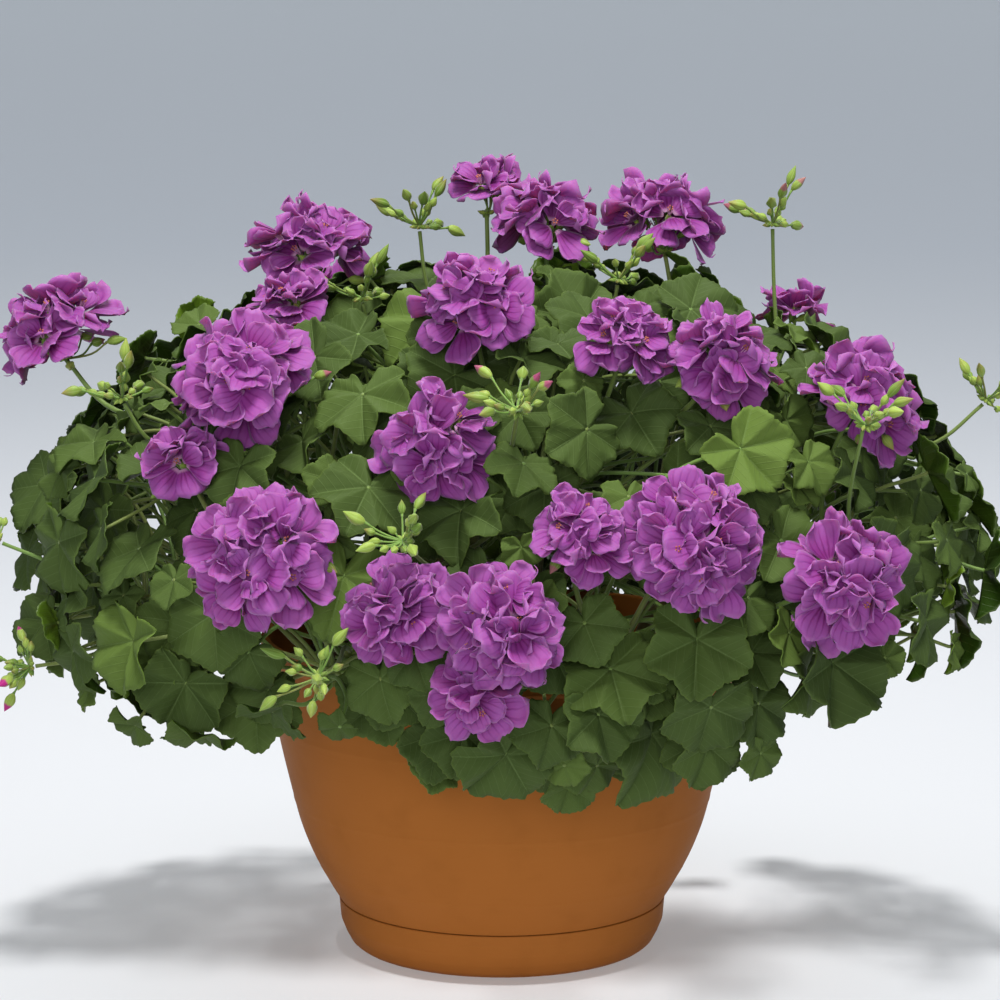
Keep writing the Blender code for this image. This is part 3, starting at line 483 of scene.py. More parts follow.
class Leaf:
    """A lobed blade: where its petiole meets it, its normal, its tip and its length."""

    def __init__(self, point, normal, tip, length, cup, wave):
        self.point = point
        self.normal = normal.normalized()
        self.tip = across(tip, self.normal)
        self.length = length
        self.cup = cup
        self.wave = wave
        self.owner = None
        self.tint = None

    def spot(self, angle, reach, over=0.0):
        """Point of the blade at an angle from the tip and a share of its length."""
        turn = math.radians(angle)
        side = self.normal.cross(self.tip)
        bow = self.cup * reach * reach + self.wave * reach * reach * math.sin(3.0 * turn)
        flat = self.tip * math.cos(turn) + side * math.sin(turn)
        return self.point + (flat * reach + self.normal * bow) * self.length + self.normal * over

    def arrive(self):
        """Direction in which the petiole reaches the blade."""
        return (self.normal * 0.8 + self.tip * 0.55).normalized()

    def petiole_end(self):
        """Where the petiole meets the blade's underside."""
        return self.point - self.normal * LEAF_THICKNESS

    def outline(self):
        """Angles and shares of the length round the blade, starting at the tip."""
        right = list(BLADE_OUTLINE)
        left = [(360 - angle, reach) for angle, reach in reversed(right[1:-1])]
        return right + left

    def shape(self, room):
        """Blade as a closed lens grown by a room, as points and faces."""
        edge = self.outline()
        grown = 1.0 + room / self.length
        points = [self.spot(angle, reach * grown) for angle, reach in edge]
        count = len(points)
        points.append(self.point + self.normal * (LEAF_THICKNESS * 0.4 + room))
        points.append(self.point - self.normal * (LEAF_THICKNESS * 0.6 + room))
        faces = []
        for index in range(count):
            after = (index + 1) % count
            faces.append((index, after, count))
            faces.append((after, index, count + 1))
        return points, faces


class Branch:
    """A petiole or a stalk: where it leaves its shoot, its line, and the leaf it may carry."""

    def __init__(self, line, radius, leaf):
        self.line = line
        self.radius = radius
        self.leaf = leaf


class Shoot:
    """A rooted stem with swollen nodes that petioles and stalks leave from."""

    def __init__(self, number, line):
        self.number = number
        self.line = line
        self.branches = []
        self.taken = set()

    def radius(self, distance):
        """Radius of the stem at a distance from its root."""
        part = distance / self.line.length
        return SHOOT_BASE_RADIUS + (SHOOT_TIP_RADIUS - SHOOT_BASE_RADIUS) * part

    def node_distance(self, node):
        """Distance of a node from the root."""
        return self.line.length * SHOOT_NODES[node]

    def side_way(self, node, side):
        """Direction in which a side of a node faces."""
        _, tangent, first = self.line.at(self.node_distance(node))
        turn = math.radians((side + 0.5) * 360.0 / SHOOT_SIDES)
        return first * math.cos(turn) + tangent.cross(first) * math.sin(turn)

    def side_start(self, node, side):
        """Middle of a side of a node."""
        distance = self.node_distance(node)
        point, _, _ = self.line.at(distance)
        flat = self.radius(distance) * NODE_SWELL * math.cos(math.pi / SHOOT_SIDES)
        return point + self.side_way(node, side) * flat


def grow_shoots():
    """Lay out the stems from the soil to under the mound's surface."""
    shoots = []
    chance = random.Random(7)
    for elevation, count, first, rooted in SHOOT_RINGS:
        for index in range(count):
            azimuth = first + 360.0 * index / count + chance.uniform(-7, 7)
            out = direction(azimuth, 0.0)
            root = out * (rooted + chance.uniform(-0.006, 0.006))
            root.z = SOIL_HEIGHT - SOCKET_DEPTH
            leaving = root + UP * (SOCKET_DEPTH + SOIL_CROWN + 0.006)
            tip = mound_point(azimuth, elevation + chance.uniform(-4, 4), -SHOOT_DEPTH)
            heading = (out * math.cos(math.radians(elevation)) * 0.9
                       + UP * math.sin(math.radians(elevation))).normalized()
            span = (tip - leaving).length
            rise = leaving + UP * (0.050 + 0.25 * span)
            stops = [step / 20 for step in range(21)]
            points = [root] + bend(leaving, rise, tip - heading * span * 0.35, tip, stops)
            line = Line(points)
            for point in points[2:]:
                if meets_pot(point, SHOOT_BASE_RADIUS + LEAF_ROOM):
                    raise ValueError(f"shoot {len(shoots) + 1} runs into the pot")
            shoots.append(Shoot(len(shoots), line))
    return shoots


def branch_lines(shoots, target, arrive, length):
    """Free sides of nodes, best first, each with curves from it to the target."""
    found = []
    for shoot in shoots:
        for node in range(len(SHOOT_NODES)):
            middle, _, _ = shoot.line.at(shoot.node_distance(node))
            if (target - middle).length > length * 2.4:
                continue
            for side in range(SHOOT_SIDES):
                if (node, side) in shoot.taken:
                    continue
                start = shoot.side_start(node, side)
                way = shoot.side_way(node, side)
                gap = target - start
                bad = abs(gap.length - length) / length - 0.5 * way.dot(gap.normalized())
                bad -= 0.5 * arrive.dot(gap.normalized())
                found.append((bad, shoot.number, node, side))
    found.sort()
    for _, number, node, side in found[:BRANCH_TRIES]:
        shoot = shoots[number]
        start = shoot.side_start(node, side)
        way = shoot.side_way(node, side)
        _, tangent, _ = shoot.line.at(shoot.node_distance(node))
        gap = (target - start).length
        for leave_share, arrive_share in HANDLE_SHARES:
            leave = start + (way + tangent * 0.6) * gap * leave_share
            points = bend(start, leave, target - arrive * gap * arrive_share, target, BRANCH_STOPS)
            yield shoot, node, side, Line(points)


def add_branch(shoots, placed, target, arrive, length, radius, leaf=None, dome=None):
    """Grow a petiole or stalk to a target if some free node reaches it clear of the rest."""
    own = leaf.owner if leaf else None
    for shoot, node, side, line in branch_lines(shoots, target, arrive, length):
        if line.length < 3.0 * LOOSE_END:
            continue
        whole = tube_shape(line, radius + LEAF_ROOM * 0.5, 0.0, line.length, 8)
        if placed.hits(*whole, without=(shoot.number, own, STUB)) or placed.in_dome(whole[0], skip=dome):
            continue
        past_stem = tube_shape(line, radius + LEAF_ROOM * 0.5, LOOSE_END, line.length, 8)
        short_of_leaf = tube_shape(line, radius + LEAF_ROOM * 0.5, 0.0, line.length - LOOSE_END, 8)
        if placed.hits(*past_stem, only=shoot.number) or (leaf and placed.hits(*short_of_leaf, only=own)):
            continue
        if any(meets_pot(point, LEAF_ROOM) for point in whole[0]):
            continue
        placed.add(*whole, shoot.number)
        shoot.taken.add((node, side))
        shoot.branches.append(Branch(line, radius, leaf))
        return True
    return False


def head_places():
    """Centre, axis and radius of every flower head."""
    places = []
    for azimuth, elevation, over, radius, upright in HEADS:
        centre = mound_point(azimuth, elevation, over)
        axis = (direction(azimuth, elevation) * (1.0 - upright) + UP * upright).normalized()
        places.append((centre, axis, radius))
    return places


def bud_places():
    """Hub, axis and number of buds of every bud cluster."""
    places = []
    for azimuth, elevation, over, upright, count in BUD_CLUSTERS:
        hub = mound_point(azimuth, elevation, over)
        axis = (direction(azimuth, elevation) * (1.0 - upright) + UP * upright).normalized()
        places.append((hub, axis, count))
    return places


def find_leaf(placed, chance, azimuth, elevation, over, length, turn, tries):
    """Find room for a blade near a spot on the mound and keep the way to it free."""
    for attempt in range(tries):
        give = min(1.0, attempt / 6.0)
        point = mound_point(azimuth + chance.uniform(-4, 4) * give, elevation + chance.uniform(-4, 4) * give,
                            over - 0.003 * attempt)
        outward = mound_normal(point)
        tilt = Vector((chance.uniform(-1, 1), chance.uniform(-1, 1), chance.uniform(-1, 1)))
        normal = (outward * 0.55 + direction(azimuth, 30) * 0.35
                  + tilt * (LEAF_TILT + 0.20 * give)).normalized()
        down = outward - UP * 1.1 * (1.0 - abs(outward.z) ** 3) + direction(azimuth, 0) * 0.8
        tip = across(down, normal)
        spin = math.radians(turn + chance.uniform(-22, 22) * (0.3 + give))
        tip = tip * math.cos(spin) + normal.cross(tip) * math.sin(spin)
        size = length * (1.0 - 0.015 * attempt)
        leaf = Leaf(point, normal, tip, size, chance.uniform(-0.20, 0.16), chance.uniform(-0.09, 0.09))
        points, faces = leaf.shape(LEAF_ROOM)
        if any(spot.z < hem_height(spot) for spot in points):
            continue
        probes = points + [leaf.spot(angle, reach * 0.6) for angle, reach in leaf.outline()]
        if any(meets_pot(probe, 0.003) for probe in probes) or placed.in_dome(probes):
            continue
        end = leaf.petiole_end()
        stub = tube_shape(Line([end - leaf.arrive() * PETIOLE_STUB, end]), PETIOLE_RADIUS, 0.0,
                          PETIOLE_STUB, 2)
        if placed.hits(points, faces) or placed.hits(*stub) or placed.in_dome(stub[0]):
            continue
        leaf.owner = f"leaf {len(placed.shapes)}"
        placed.add(points, faces, leaf.owner)
        placed.add(*stub, STUB)
        return leaf
    return None


def fill_leaves(placed, chance, wanted, depth, shortest):
    """Spread leaves evenly over the mound at a depth until enough have found room."""
    made = []
    for spot in range(LEAF_SPOTS):
        if len(made) >= wanted:
            break
        share = (spot * EVEN_STEPS[0]) % 1.0
        azimuth = (spot * EVEN_STEPS[1]) % 1.0 * 360.0
        elevation = math.degrees(math.asin(LOWEST_LEAF + (1.0 - LOWEST_LEAF) * share))
        length = LEAF_LENGTH * chance.uniform(shortest, 1.05)
        over = depth + chance.uniform(-0.006, 0.006)
        leaf = find_leaf(placed, chance, azimuth, elevation, over, length, 0, 9)
        if leaf:
            made.append(leaf)
    return made


def lay_out():
    """Arrange the whole plant and return its shoots, heads and bud clusters."""
    shoots = grow_shoots()
    placed = Placed()
    for shoot in shoots:
        placed.add(*tube_shape(shoot.line, SHOOT_BASE_RADIUS + LEAF_ROOM * 0.5, SOCKET_DEPTH,
                               shoot.line.length, 14), shoot.number)
    heads = head_places()
    buds = bud_places()
    ends = []
    for centre, axis, radius in heads:
        ends.append((centre + axis * (HEAD_PROFILE[0][0] * radius - FIT), axis, STALK_LENGTH, STALK_RADIUS))
        placed.domes.append((centre, axis, radius))
    for hub, axis, _ in buds:
        ends.append((hub - axis * (HUB_RADIUS + FIT), axis, STALK_LENGTH * 0.8, STALK_RADIUS * 0.8))
        placed.domes.append((hub + axis * BUD_REACH * 0.6, axis, BUD_REACH * 1.7))
    for end, axis, _, radius in ends:
        column = Line([end - axis * STALK_COLUMN, end])
        placed.add(*tube_shape(column, radius + LEAF_ROOM, 0.0, STALK_COLUMN, 3), COLUMN)
    chance = random.Random(LAYOUT_SEED)
    leaves = []
    for spot, (azimuth, elevation, over, length, turn) in enumerate(SET_LEAVES):
        leaf = find_leaf(placed, chance, azimuth, elevation, over, length, turn, 14)
        if leaf:
            leaf.tint = SET_TINTS.get(spot)
            leaves.append(leaf)
    placed.forget(COLUMN)
    for number, (end, axis, length, radius) in enumerate(ends):
        if not add_branch(shoots, placed, end, axis, length, radius, dome=number):
            raise ValueError(f"no shoot reaches flower head or bud cluster {number + 1}")
    leaves += fill_leaves(placed, chance, LEAF_COUNT - len(leaves), -0.006, 0.72)
    leaves += fill_leaves(placed, chance, LEAF_COUNT - len(leaves), -0.030, 0.70)
    placed.forget(STUB)
    for leaf in leaves:
        add_branch(shoots, placed, leaf.petiole_end(), leaf.arrive(), PETIOLE_LENGTH, PETIOLE_RADIUS, leaf)
    return shoots, heads, buds, placed


def bud_ways(axis, count, seed):
    """Directions of a cluster's pedicels, spread round its axis."""
    chance = random.Random(seed)
    side = across(Vector((1.0, 0.3, 0.2)), axis)
    other = axis.cross(side)
    ways = []
    for index in range(count):
        lean = math.radians(22.0 + 78.0 * ((index * 0.618) % 1.0))
        turn = math.radians(index * GOLDEN_TURN + chance.uniform(-12, 12))
        flat = side * math.cos(turn) + other * math.sin(turn)
        ways.append((axis * math.cos(lean) + flat * math.sin(lean)).normalized())
    return ways


# ---------------------------------------------------------------- mesh work

class Skin:
    """Gathers many small surfaces into one mesh, with places and tones for its material."""

    def __init__(self):
        self.points = []
        self.quads = []
        self.places = []
        self.tones = []
        self.count = 0

    def add(self, points, quads, places, tone):
        """Add one surface: its points, its quads, a place per point and one tone."""
        self.points.append(points)
        self.quads.append(quads + self.count)
        self.places.append(places)
        self.tones.append(np.tile(np.array(tone, dtype=float), (len(points), 1)))
        self.count += len(points)

    def finish(self, name, material, node, slot_name, thickness=0.0):
        """Make the mesh, hang it on the frame and let it stand for a node."""
        points = np.concatenate(self.points)
        quads = np.concatenate(self.quads)
        mesh = bpy.data.meshes.new(name)
        mesh.vertices.add(len(points))
        mesh.vertices.foreach_set("co", points.ravel())
        mesh.loops.add(quads.size)
        mesh.loops.foreach_set("vertex_index", quads.ravel())
        mesh.polygons.add(len(quads))
        mesh.polygons.foreach_set("loop_start", np.arange(0, quads.size, 4))
        mesh.polygons.foreach_set("loop_total", np.full(len(quads), 4))
        mesh.polygons.foreach_set("use_smooth", np.ones(len(quads), dtype=bool))
        mesh.update(calc_edges=True)
        place = mesh.attributes.new("place", "FLOAT_VECTOR", "POINT")
        place.data.foreach_set("vector", np.concatenate(self.places).ravel())
        tone = mesh.attributes.new("tone", "FLOAT_VECTOR", "POINT")
        tone.data.foreach_set("vector", np.concatenate(self.tones).ravel())
        mesh.validate()
        item = bpy.data.objects.new(name, mesh)
        bpy.context.scene.collection.objects.link(item)
        mesh.materials.append(material)
        if thickness:
            solid = item.modifiers.new("Thickness", "SOLIDIFY")
            solid.thickness = thickness
            solid.offset = 0.0
            solid.use_rim = True
        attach(item, "root")
        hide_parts(node)
        PLANT.objects.link(item)
        return item


def grid_quads(rows, columns, closed):
    """Quads of a grid of points, row by row; a closed grid joins its last column to its first."""
    last = columns if closed else columns - 1
    row, column = np.meshgrid(np.arange(rows - 1), np.arange(last), indexing="ij")
    after = (column + 1) % columns
    low = row * columns
    high = low + columns
    return np.stack([low + column, low + after, high + after, high + column], axis=-1).reshape(-1, 4)


def array(vector):
    """A Vector as an array."""
    return np.array(vector[:], dtype=float)


def smooth_line(points, steps):
    """Points of a rounded curve through given points, evenly shared between them."""
    anchors = [points[0] * 2 - points[1]] + list(points) + [points[-1] * 2 - points[-2]]
    made = []
    for index in range(1, len(anchors) - 2):
        a, b, c, d = anchors[index - 1:index + 3]
        for step in range(steps):
            t = step / steps
            made.append(0.5 * (b * 2 + (c - a) * t + (a * 2 - b * 5 + c * 4 - d) * t * t
                               + (b * 3 - a - c * 3 + d) * t ** 3))
    made.append(points[-1])
    return made


def add_tube(skin, points, radii, sides, tone, kind):
    """Round tube along points that closes to a point at both ends."""
    line = Line(points)
    rows = []
    places = []
    ring = np.arange(sides) * (2.0 * math.pi / sides)
    count = len(points)
    for index in range(-1, count + 1):
        at = min(max(index, 0), count - 1)
        tangent = line.tangents[at]
        side = array(line.sides[at])
        other = array(tangent.cross(line.sides[at]))
        radius = radii[at] if index == at else 1e-5
        rows.append(array(points[at]) + radius * (np.cos(ring)[:, None] * side
                                                  + np.sin(ring)[:, None] * other))
        share = line.marks[at] / line.length
        places.append(np.stack([np.full(sides, share), ring / (2 * math.pi), np.full(sides, kind)], axis=1))
    quads = grid_quads(count + 2, sides, True)
    skin.add(np.concatenate(rows), quads, np.concatenate(places), tone)


# ---------------------------------------------------------------- leaves

def outline_reach(angles):
    """Reach of the blade's edge at angles from the tip, in blade lengths, with rounded teeth."""
    marks = np.array([angle for angle, _ in BLADE_OUTLINE], dtype=float)
    reaches = np.array([reach for _, reach in BLADE_OUTLINE])
    folded = np.abs((angles + 180.0) % 360.0 - 180.0)
    index = np.clip(np.searchsorted(marks, folded, side="right") - 1, 0, len(marks) - 2)
    part = (folded - marks[index]) / (marks[index + 1] - marks[index])
    part = (1.0 - np.cos(part * math.pi)) / 2
    reach = reaches[index] + (reaches[index + 1] - reaches[index]) * part
    teeth = np.abs(np.sin(np.radians(folded) * LEAF_TEETH / 2))
    return reach * (1.0 - LEAF_TOOTH_DEPTH + LEAF_TOOTH_DEPTH * teeth)


def vein_gap(folded):
    """How far an angle lies from its nearest main vein, from 0 on it to 1 midway to the next."""
    marks = np.array(VEIN_ANGLES, dtype=float)
    index = np.clip(np.searchsorted(marks, folded, side="right") - 1, 0, len(marks) - 2)
    part = np.clip((folded - marks[index]) / (marks[index + 1] - marks[index]), 0.0, 1.0)
    return 1.0 - np.abs(part * 2.0 - 1.0)


LEAF_ANGLES = np.arange(LEAF_SPOKES) * 360.0 / LEAF_SPOKES
LEAF_REACH = outline_reach(LEAF_ANGLES)
LEAF_FOLDED = np.abs((LEAF_ANGLES + 180.0) % 360.0 - 180.0)
LEAF_QUADS = grid_quads(LEAF_ROWS, LEAF_SPOKES, True)


def add_leaf(skin, leaf, chance, tint):
    """One blade with lobes, teeth, sunken veins and a ruffled edge."""
    length = leaf.length
    tip, normal = array(leaf.tip), array(leaf.normal)
    side = np.cross(normal, tip)
    share = np.linspace(0.0, 1.0, LEAF_ROWS)[:, None] ** 0.85
    share[0] = 0.012
    reach = share * LEAF_REACH[None, :]
    turn = np.radians(LEAF_ANGLES)[None, :]
    first, second, third = (chance.uniform(0, 2 * math.pi) for _ in range(3))
    height = leaf.cup * reach ** 2 + leaf.wave * reach ** 2 * np.sin(3 * turn)
    gap = vein_gap(LEAF_FOLDED)[None, :]
    pleat = LEAF_QUILT * chance.uniform(0.5, 1.4)
    height = height + pleat * (gap ** 0.75 - 0.5) * reach
    side_fold = np.sin(reach * 21.0 - gap * 3.0) * np.minimum(1.0, gap * 3.0) * share
    height = height + LEAF_SIDE_FOLD * side_fold
    fold = chance.choice((0.0, 0.05, 0.12, 0.25, 0.40))
    height = height + fold * np.abs(np.sin(turn)) * reach * (1.0 - 0.3 * reach)
    ruffle = chance.uniform(0.6, 1.5)
    height = height + ruffle * LEAF_RUFFLE * share ** 3 * np.sin(7 * turn + first) * (reach > 0.1)
    height = height + ruffle * 0.5 * LEAF_RUFFLE * share ** 5 * np.sin(15 * turn + second)
    height = height - chance.uniform(0.0, 0.12) * share ** 4 * np.cos(turn / 2 + 0.2 * math.sin(third)) ** 2
    flat = np.cos(turn)[..., None] * tip + np.sin(turn)[..., None] * side
    points = array(leaf.point) + (reach[..., None] * flat + height[..., None] * normal) * length
    places = np.stack([reach * np.cos(turn), reach * np.sin(turn),
                       np.broadcast_to(share, reach.shape)], axis=-1)
    skin.add(points.reshape(-1, 3), LEAF_QUADS, places.reshape(-1, 3), tint)


# ---------------------------------------------------------------- petals and florets

PETAL_U = np.linspace(0.0, 1.0, PETAL_ROWS)[:, None]
PETAL_V = np.linspace(-1.0, 1.0, PETAL_COLUMNS)[None, :]
PETAL_WIDTHS = np.interp(PETAL_U[:, 0], *zip(*PETAL_SHAPE))[:, None]
PETAL_QUADS = grid_quads(PETAL_ROWS, PETAL_COLUMNS, False)


def add_petal(skin, centre, axis, side, turn, size, rise, fall, chance, tone):
    """One petal that rises from the floret's throat and bends out towards its ruffled edge."""
    out = side * math.cos(turn) + np.cross(axis, side) * math.sin(turn)
    across_way = np.cross(axis, out)
    twist = chance.uniform(-0.35, 0.35)
    across_way, axis = (across_way * math.cos(twist) + axis * math.sin(twist),
                        axis * math.cos(twist) - across_way * math.sin(twist))
    length = size * chance.uniform(0.88, 1.10)
    width = size * PETAL_WIDTH * chance.uniform(0.85, 1.12)
    bend_way = np.radians(rise + (fall - rise) * PETAL_U ** 0.8)
    step = length / (PETAL_ROWS - 1)
    forward = np.cumsum(np.cos(bend_way), axis=0) * step
    upward = np.cumsum(np.sin(bend_way), axis=0) * step
    notch = 1.0 - PETAL_NOTCH * np.exp(-(PETAL_V / 0.3) ** 2) * PETAL_U ** 3
    first, second = chance.uniform(0, 6.28), chance.uniform(0, 6.28)
    wave = (np.sin(PETAL_V * 3.4 + first) * 0.070 * PETAL_U ** 2
            + np.sin(PETAL_V * 8.0 + second) * 0.030 * PETAL_U ** 3)
    cup = chance.uniform(-0.20, 0.34) * PETAL_V ** 2 * PETAL_U
    fold = -0.05 * np.exp(-(PETAL_V / 0.22) ** 2) * np.sin(PETAL_U * math.pi)
    high = upward + (wave + cup + fold) * length
    sway = chance.uniform(-0.12, 0.12) * PETAL_U ** 2 * length
    sideways = PETAL_V * PETAL_WIDTHS * width + sway
    ahead = forward * notch * (1.0 - 0.16 * PETAL_V ** 2 * PETAL_U ** 2) + 0.0008
    points = (centre + ahead[..., None] * out + sideways[..., None] * across_way + high[..., None] * axis)
    u, v = np.broadcast_arrays(PETAL_U, PETAL_V)
    places = np.stack([u, v, np.full(u.shape, chance.random())], axis=-1)
    skin.add(points.reshape(-1, 3), PETAL_QUADS, places.reshape(-1, 3), tone)


def add_floret(skin, greens, base, axis, size, chance):
    """One open floret: two whorls of petals and stamens."""
    way = array(axis)
    side = array(across(Vector((chance.uniform(-1, 1), chance.uniform(-1, 1), 0.3)), axis))
    centre = array(base)
    start = chance.uniform(0, 6.28)
    light = chance.random()
    outer = chance.choice((5, 5, 6))
    inner = chance.choice((1, 2, 2, 3))
    for index in range(outer):
        turn = start + 2 * math.pi * index / outer + chance.uniform(-0.20, 0.20)
        add_petal(skin, centre, way, side, turn, size, chance.uniform(8, 32), chance.uniform(-14, 16), chance,
                  (light, chance.random(), 0.0))
    for index in range(inner):
        turn = start + 0.6 + 2 * math.pi * index / inner + chance.uniform(-0.3, 0.3)
        add_petal(skin, centre + way * 0.0012, way, side, turn, size * chance.uniform(0.60, 0.84),
                  chance.uniform(34, 66), chance.uniform(0, 46), chance, (light, chance.random(), 1.0))
    throat = base + axis * 0.001
    for index in range(5):
        turn = start + 2 * math.pi * index / 5
        lean = across(Vector(side * math.cos(turn) + np.cross(way, side) * math.sin(turn)), axis)
        top = throat + axis * size * 0.33 + lean * size * 0.06
        add_tube(greens, [throat, throat.lerp(top, 0.5) + lean * 0.0004, top, top + axis * 0.0012],
                 (0.0003, 0.0003, 0.0003, 0.0006), 5, (chance.random(), 0.0, 0.0), 3.0)


def add_bud(skin, base, way, length, radius, chance, opening=0.0):
    """One closed bud: a ribbed pointed oval of sepals, with petal colour at an opening tip."""
    axis = way.normalized()
    side = array(across(Vector((0.4, 0.3, 1.0)), axis))
    other = np.cross(array(axis), side)
    shares = np.linspace(0.0, 1.0, BUD_ROWS)
    widths = np.interp(shares, *zip(*BUD_SHAPE))
    ring = np.arange(BUD_SIDES) * (2 * math.pi / BUD_SIDES)
    start = chance.uniform(0, 6.28)
    rib = 1.0 + 0.16 * np.cos(5 * ring + start)[None, :] * np.sin(shares * math.pi)[:, None]
    reach = widths[:, None] * rib * radius
    bow = array(across(Vector((0, 0, -1)), axis)) * (chance.uniform(-0.08, 0.12) * length)
    points = (array(base) + shares[:, None, None] * length * array(axis)
              + (shares ** 2)[:, None, None] * bow
              + reach[..., None] * (np.cos(ring)[None, :, None] * side + np.sin(ring)[None, :, None] * other))
    u = np.broadcast_to(shares[:, None], reach.shape)
    ridge = np.broadcast_to((0.5 + 0.5 * np.cos(5 * ring + start))[None, :], reach.shape)
    places = np.stack([u, ridge, np.full(u.shape, 1.0)], axis=-1)
    skin.add(points.reshape(-1, 3), grid_quads(BUD_ROWS, BUD_SIDES, True), places.reshape(-1, 3),
             (chance.random(), opening, chance.random()))


def add_pedicel(skin, start, end, sag, radius, chance):
    """Slender stalk of one floret or bud, bowed a little."""
    middle = start.lerp(end, 0.55) + Vector((chance.uniform(-1, 1), chance.uniform(-1, 1), -1.5)) * sag
    points = smooth_line([start, middle, end], 4)
    radii = [radius * (1.15 - 0.3 * index / len(points)) for index in range(len(points))]
    radii[-1] = radius * 1.5
    add_tube(skin, points, radii, 6, (chance.random(), 0.0, 0.0), 0.0)


def head_greens_and_petals(number, centre, axis, radius):
    """One flower head: florets over a dome, their pedicels, a few late buds and the hub."""
    chance = random.Random(HEAD_SEED + number)
    petals = Skin()
    greens = Skin()
    hub = centre + axis * HEAD_PROFILE[0][0] * radius
    size = FLORET_RADIUS * (1.0 if radius > 0.03 else 0.88) * chance.uniform(0.96, 1.04)
    count = max(3, round(FLORETS_PER_HEAD * (radius / 0.045) ** 1.7))
    widest = math.radians(FLORET_SPREAD if radius > 0.03 else 70)
    side = across(Vector((chance.uniform(-1, 1), chance.uniform(-1, 1), 0.2)), axis)
    other = axis.cross(side)
    for index in range(count):
        lean = math.acos(1.0 - (1.0 - math.cos(widest)) * (index + 0.5) / count)
        lean += chance.uniform(-0.12, 0.12)
        turn = index * math.radians(GOLDEN_TURN) + chance.uniform(-0.30, 0.30)
        flat = side * math.cos(turn) + other * math.sin(turn)
        out = chance.uniform(0.52, 0.70)
        place = centre + (flat * math.sin(lean) * out + axis * (math.cos(lean) * 0.44 - 0.06)) * radius
        facing = (place - (centre - axis * 0.45 * radius)).normalized()
        wobble = Vector((chance.uniform(-1, 1), chance.uniform(-1, 1), chance.uniform(-1, 1))) * 0.22
        facing = (facing + wobble).normalized()
        base = place - facing * size * 0.25
        add_floret(petals, greens, base, facing, size * chance.uniform(0.88, 1.06), chance)
        back = base - facing * CALYX_LENGTH
        add_bud(greens, back, facing, CALYX_LENGTH * 1.5, CALYX_RADIUS, chance)
        add_pedicel(greens, hub, back, 0.0015, PEDICEL_RADIUS, chance)
    for index in range(chance.choice((1, 2, 3, 4)) if radius > 0.028 else 1):
        turn = chance.uniform(0, 6.28)
        flat = side * math.cos(turn) + other * math.sin(turn)
        place = hub + flat * radius * chance.uniform(0.5, 0.8) + axis * radius * chance.uniform(-0.05, 0.25)
        way = (flat * 0.8 - UP * 0.35 + axis * 0.2).normalized()
        add_pedicel(greens, hub, place, 0.002, PEDICEL_RADIUS, chance)
        add_bud(greens, place, way, BUD_LENGTH * chance.uniform(0.8, 1.1), BUD_RADIUS, chance,
                chance.choice((0.0, 0.0, 0.6, 1.0)))
    for index in range(7):
        turn = 2 * math.pi * index / 7
        flat = side * math.cos(turn) + other * math.sin(turn)
        add_bud(greens, hub + flat * 0.0012, (flat + axis * 0.5).normalized(), 0.0055, 0.0013, chance)
    return petals, greens


def cluster_greens(number, hub, axis, count):
    """One cluster of closed buds of several ages on bowed pedicels over a ring of bracts."""
    chance = random.Random(CLUSTER_SEED + number)
    greens = Skin()
    opening = BUDS_OPENING.get(number, 0.0)
    for index, way in enumerate(bud_ways(axis, count, 300 + number)):
        reach = BUD_REACH * chance.uniform(0.95, 1.45)
        droop = chance.uniform(0.0, 0.35)
        place = hub + way * reach
        heading = (way - UP * droop).normalized()
        add_pedicel(greens, hub, place, 0.0008, PEDICEL_RADIUS, chance)
        tip = opening if chance.random() < 0.35 else 0.0
        add_bud(greens, place, heading, BUD_LENGTH * chance.uniform(0.95, 1.30),
                BUD_RADIUS * chance.uniform(0.85, 1.15), chance, tip)
    for index, way in enumerate(bud_ways(axis, 12, 900 + number)):
        reach = BUD_REACH * chance.uniform(0.30, 0.95)
        add_pedicel(greens, hub, hub + way * reach, 0.0003, PEDICEL_RADIUS * 0.9, chance)
        add_bud(greens, hub + way * reach, way, BUD_LENGTH * chance.uniform(0.5, 0.75),
                BUD_RADIUS * 0.75, chance)
    side = across(Vector((0.2, 1.0, 0.1)), axis)
    other = axis.cross(side)
    for index in range(8):
        turn = 2 * math.pi * index / 8
        flat = side * math.cos(turn) + other * math.sin(turn)
        add_bud(greens, hub + flat * 0.001, (flat - axis * 0.2).normalized(), 0.006, 0.0014, chance)
    return greens


# ---------------------------------------------------------------- materials

def srgb(red, green, blue):
    """Colour for a shader from screen values of 0 to 255."""
    made = []
    for value in (red, green, blue):
        share = value / 255.0
        made.append(share / 12.92 if share <= 0.04045 else ((share + 0.055) / 1.055) ** 2.4)
    return (*made, 1.0)


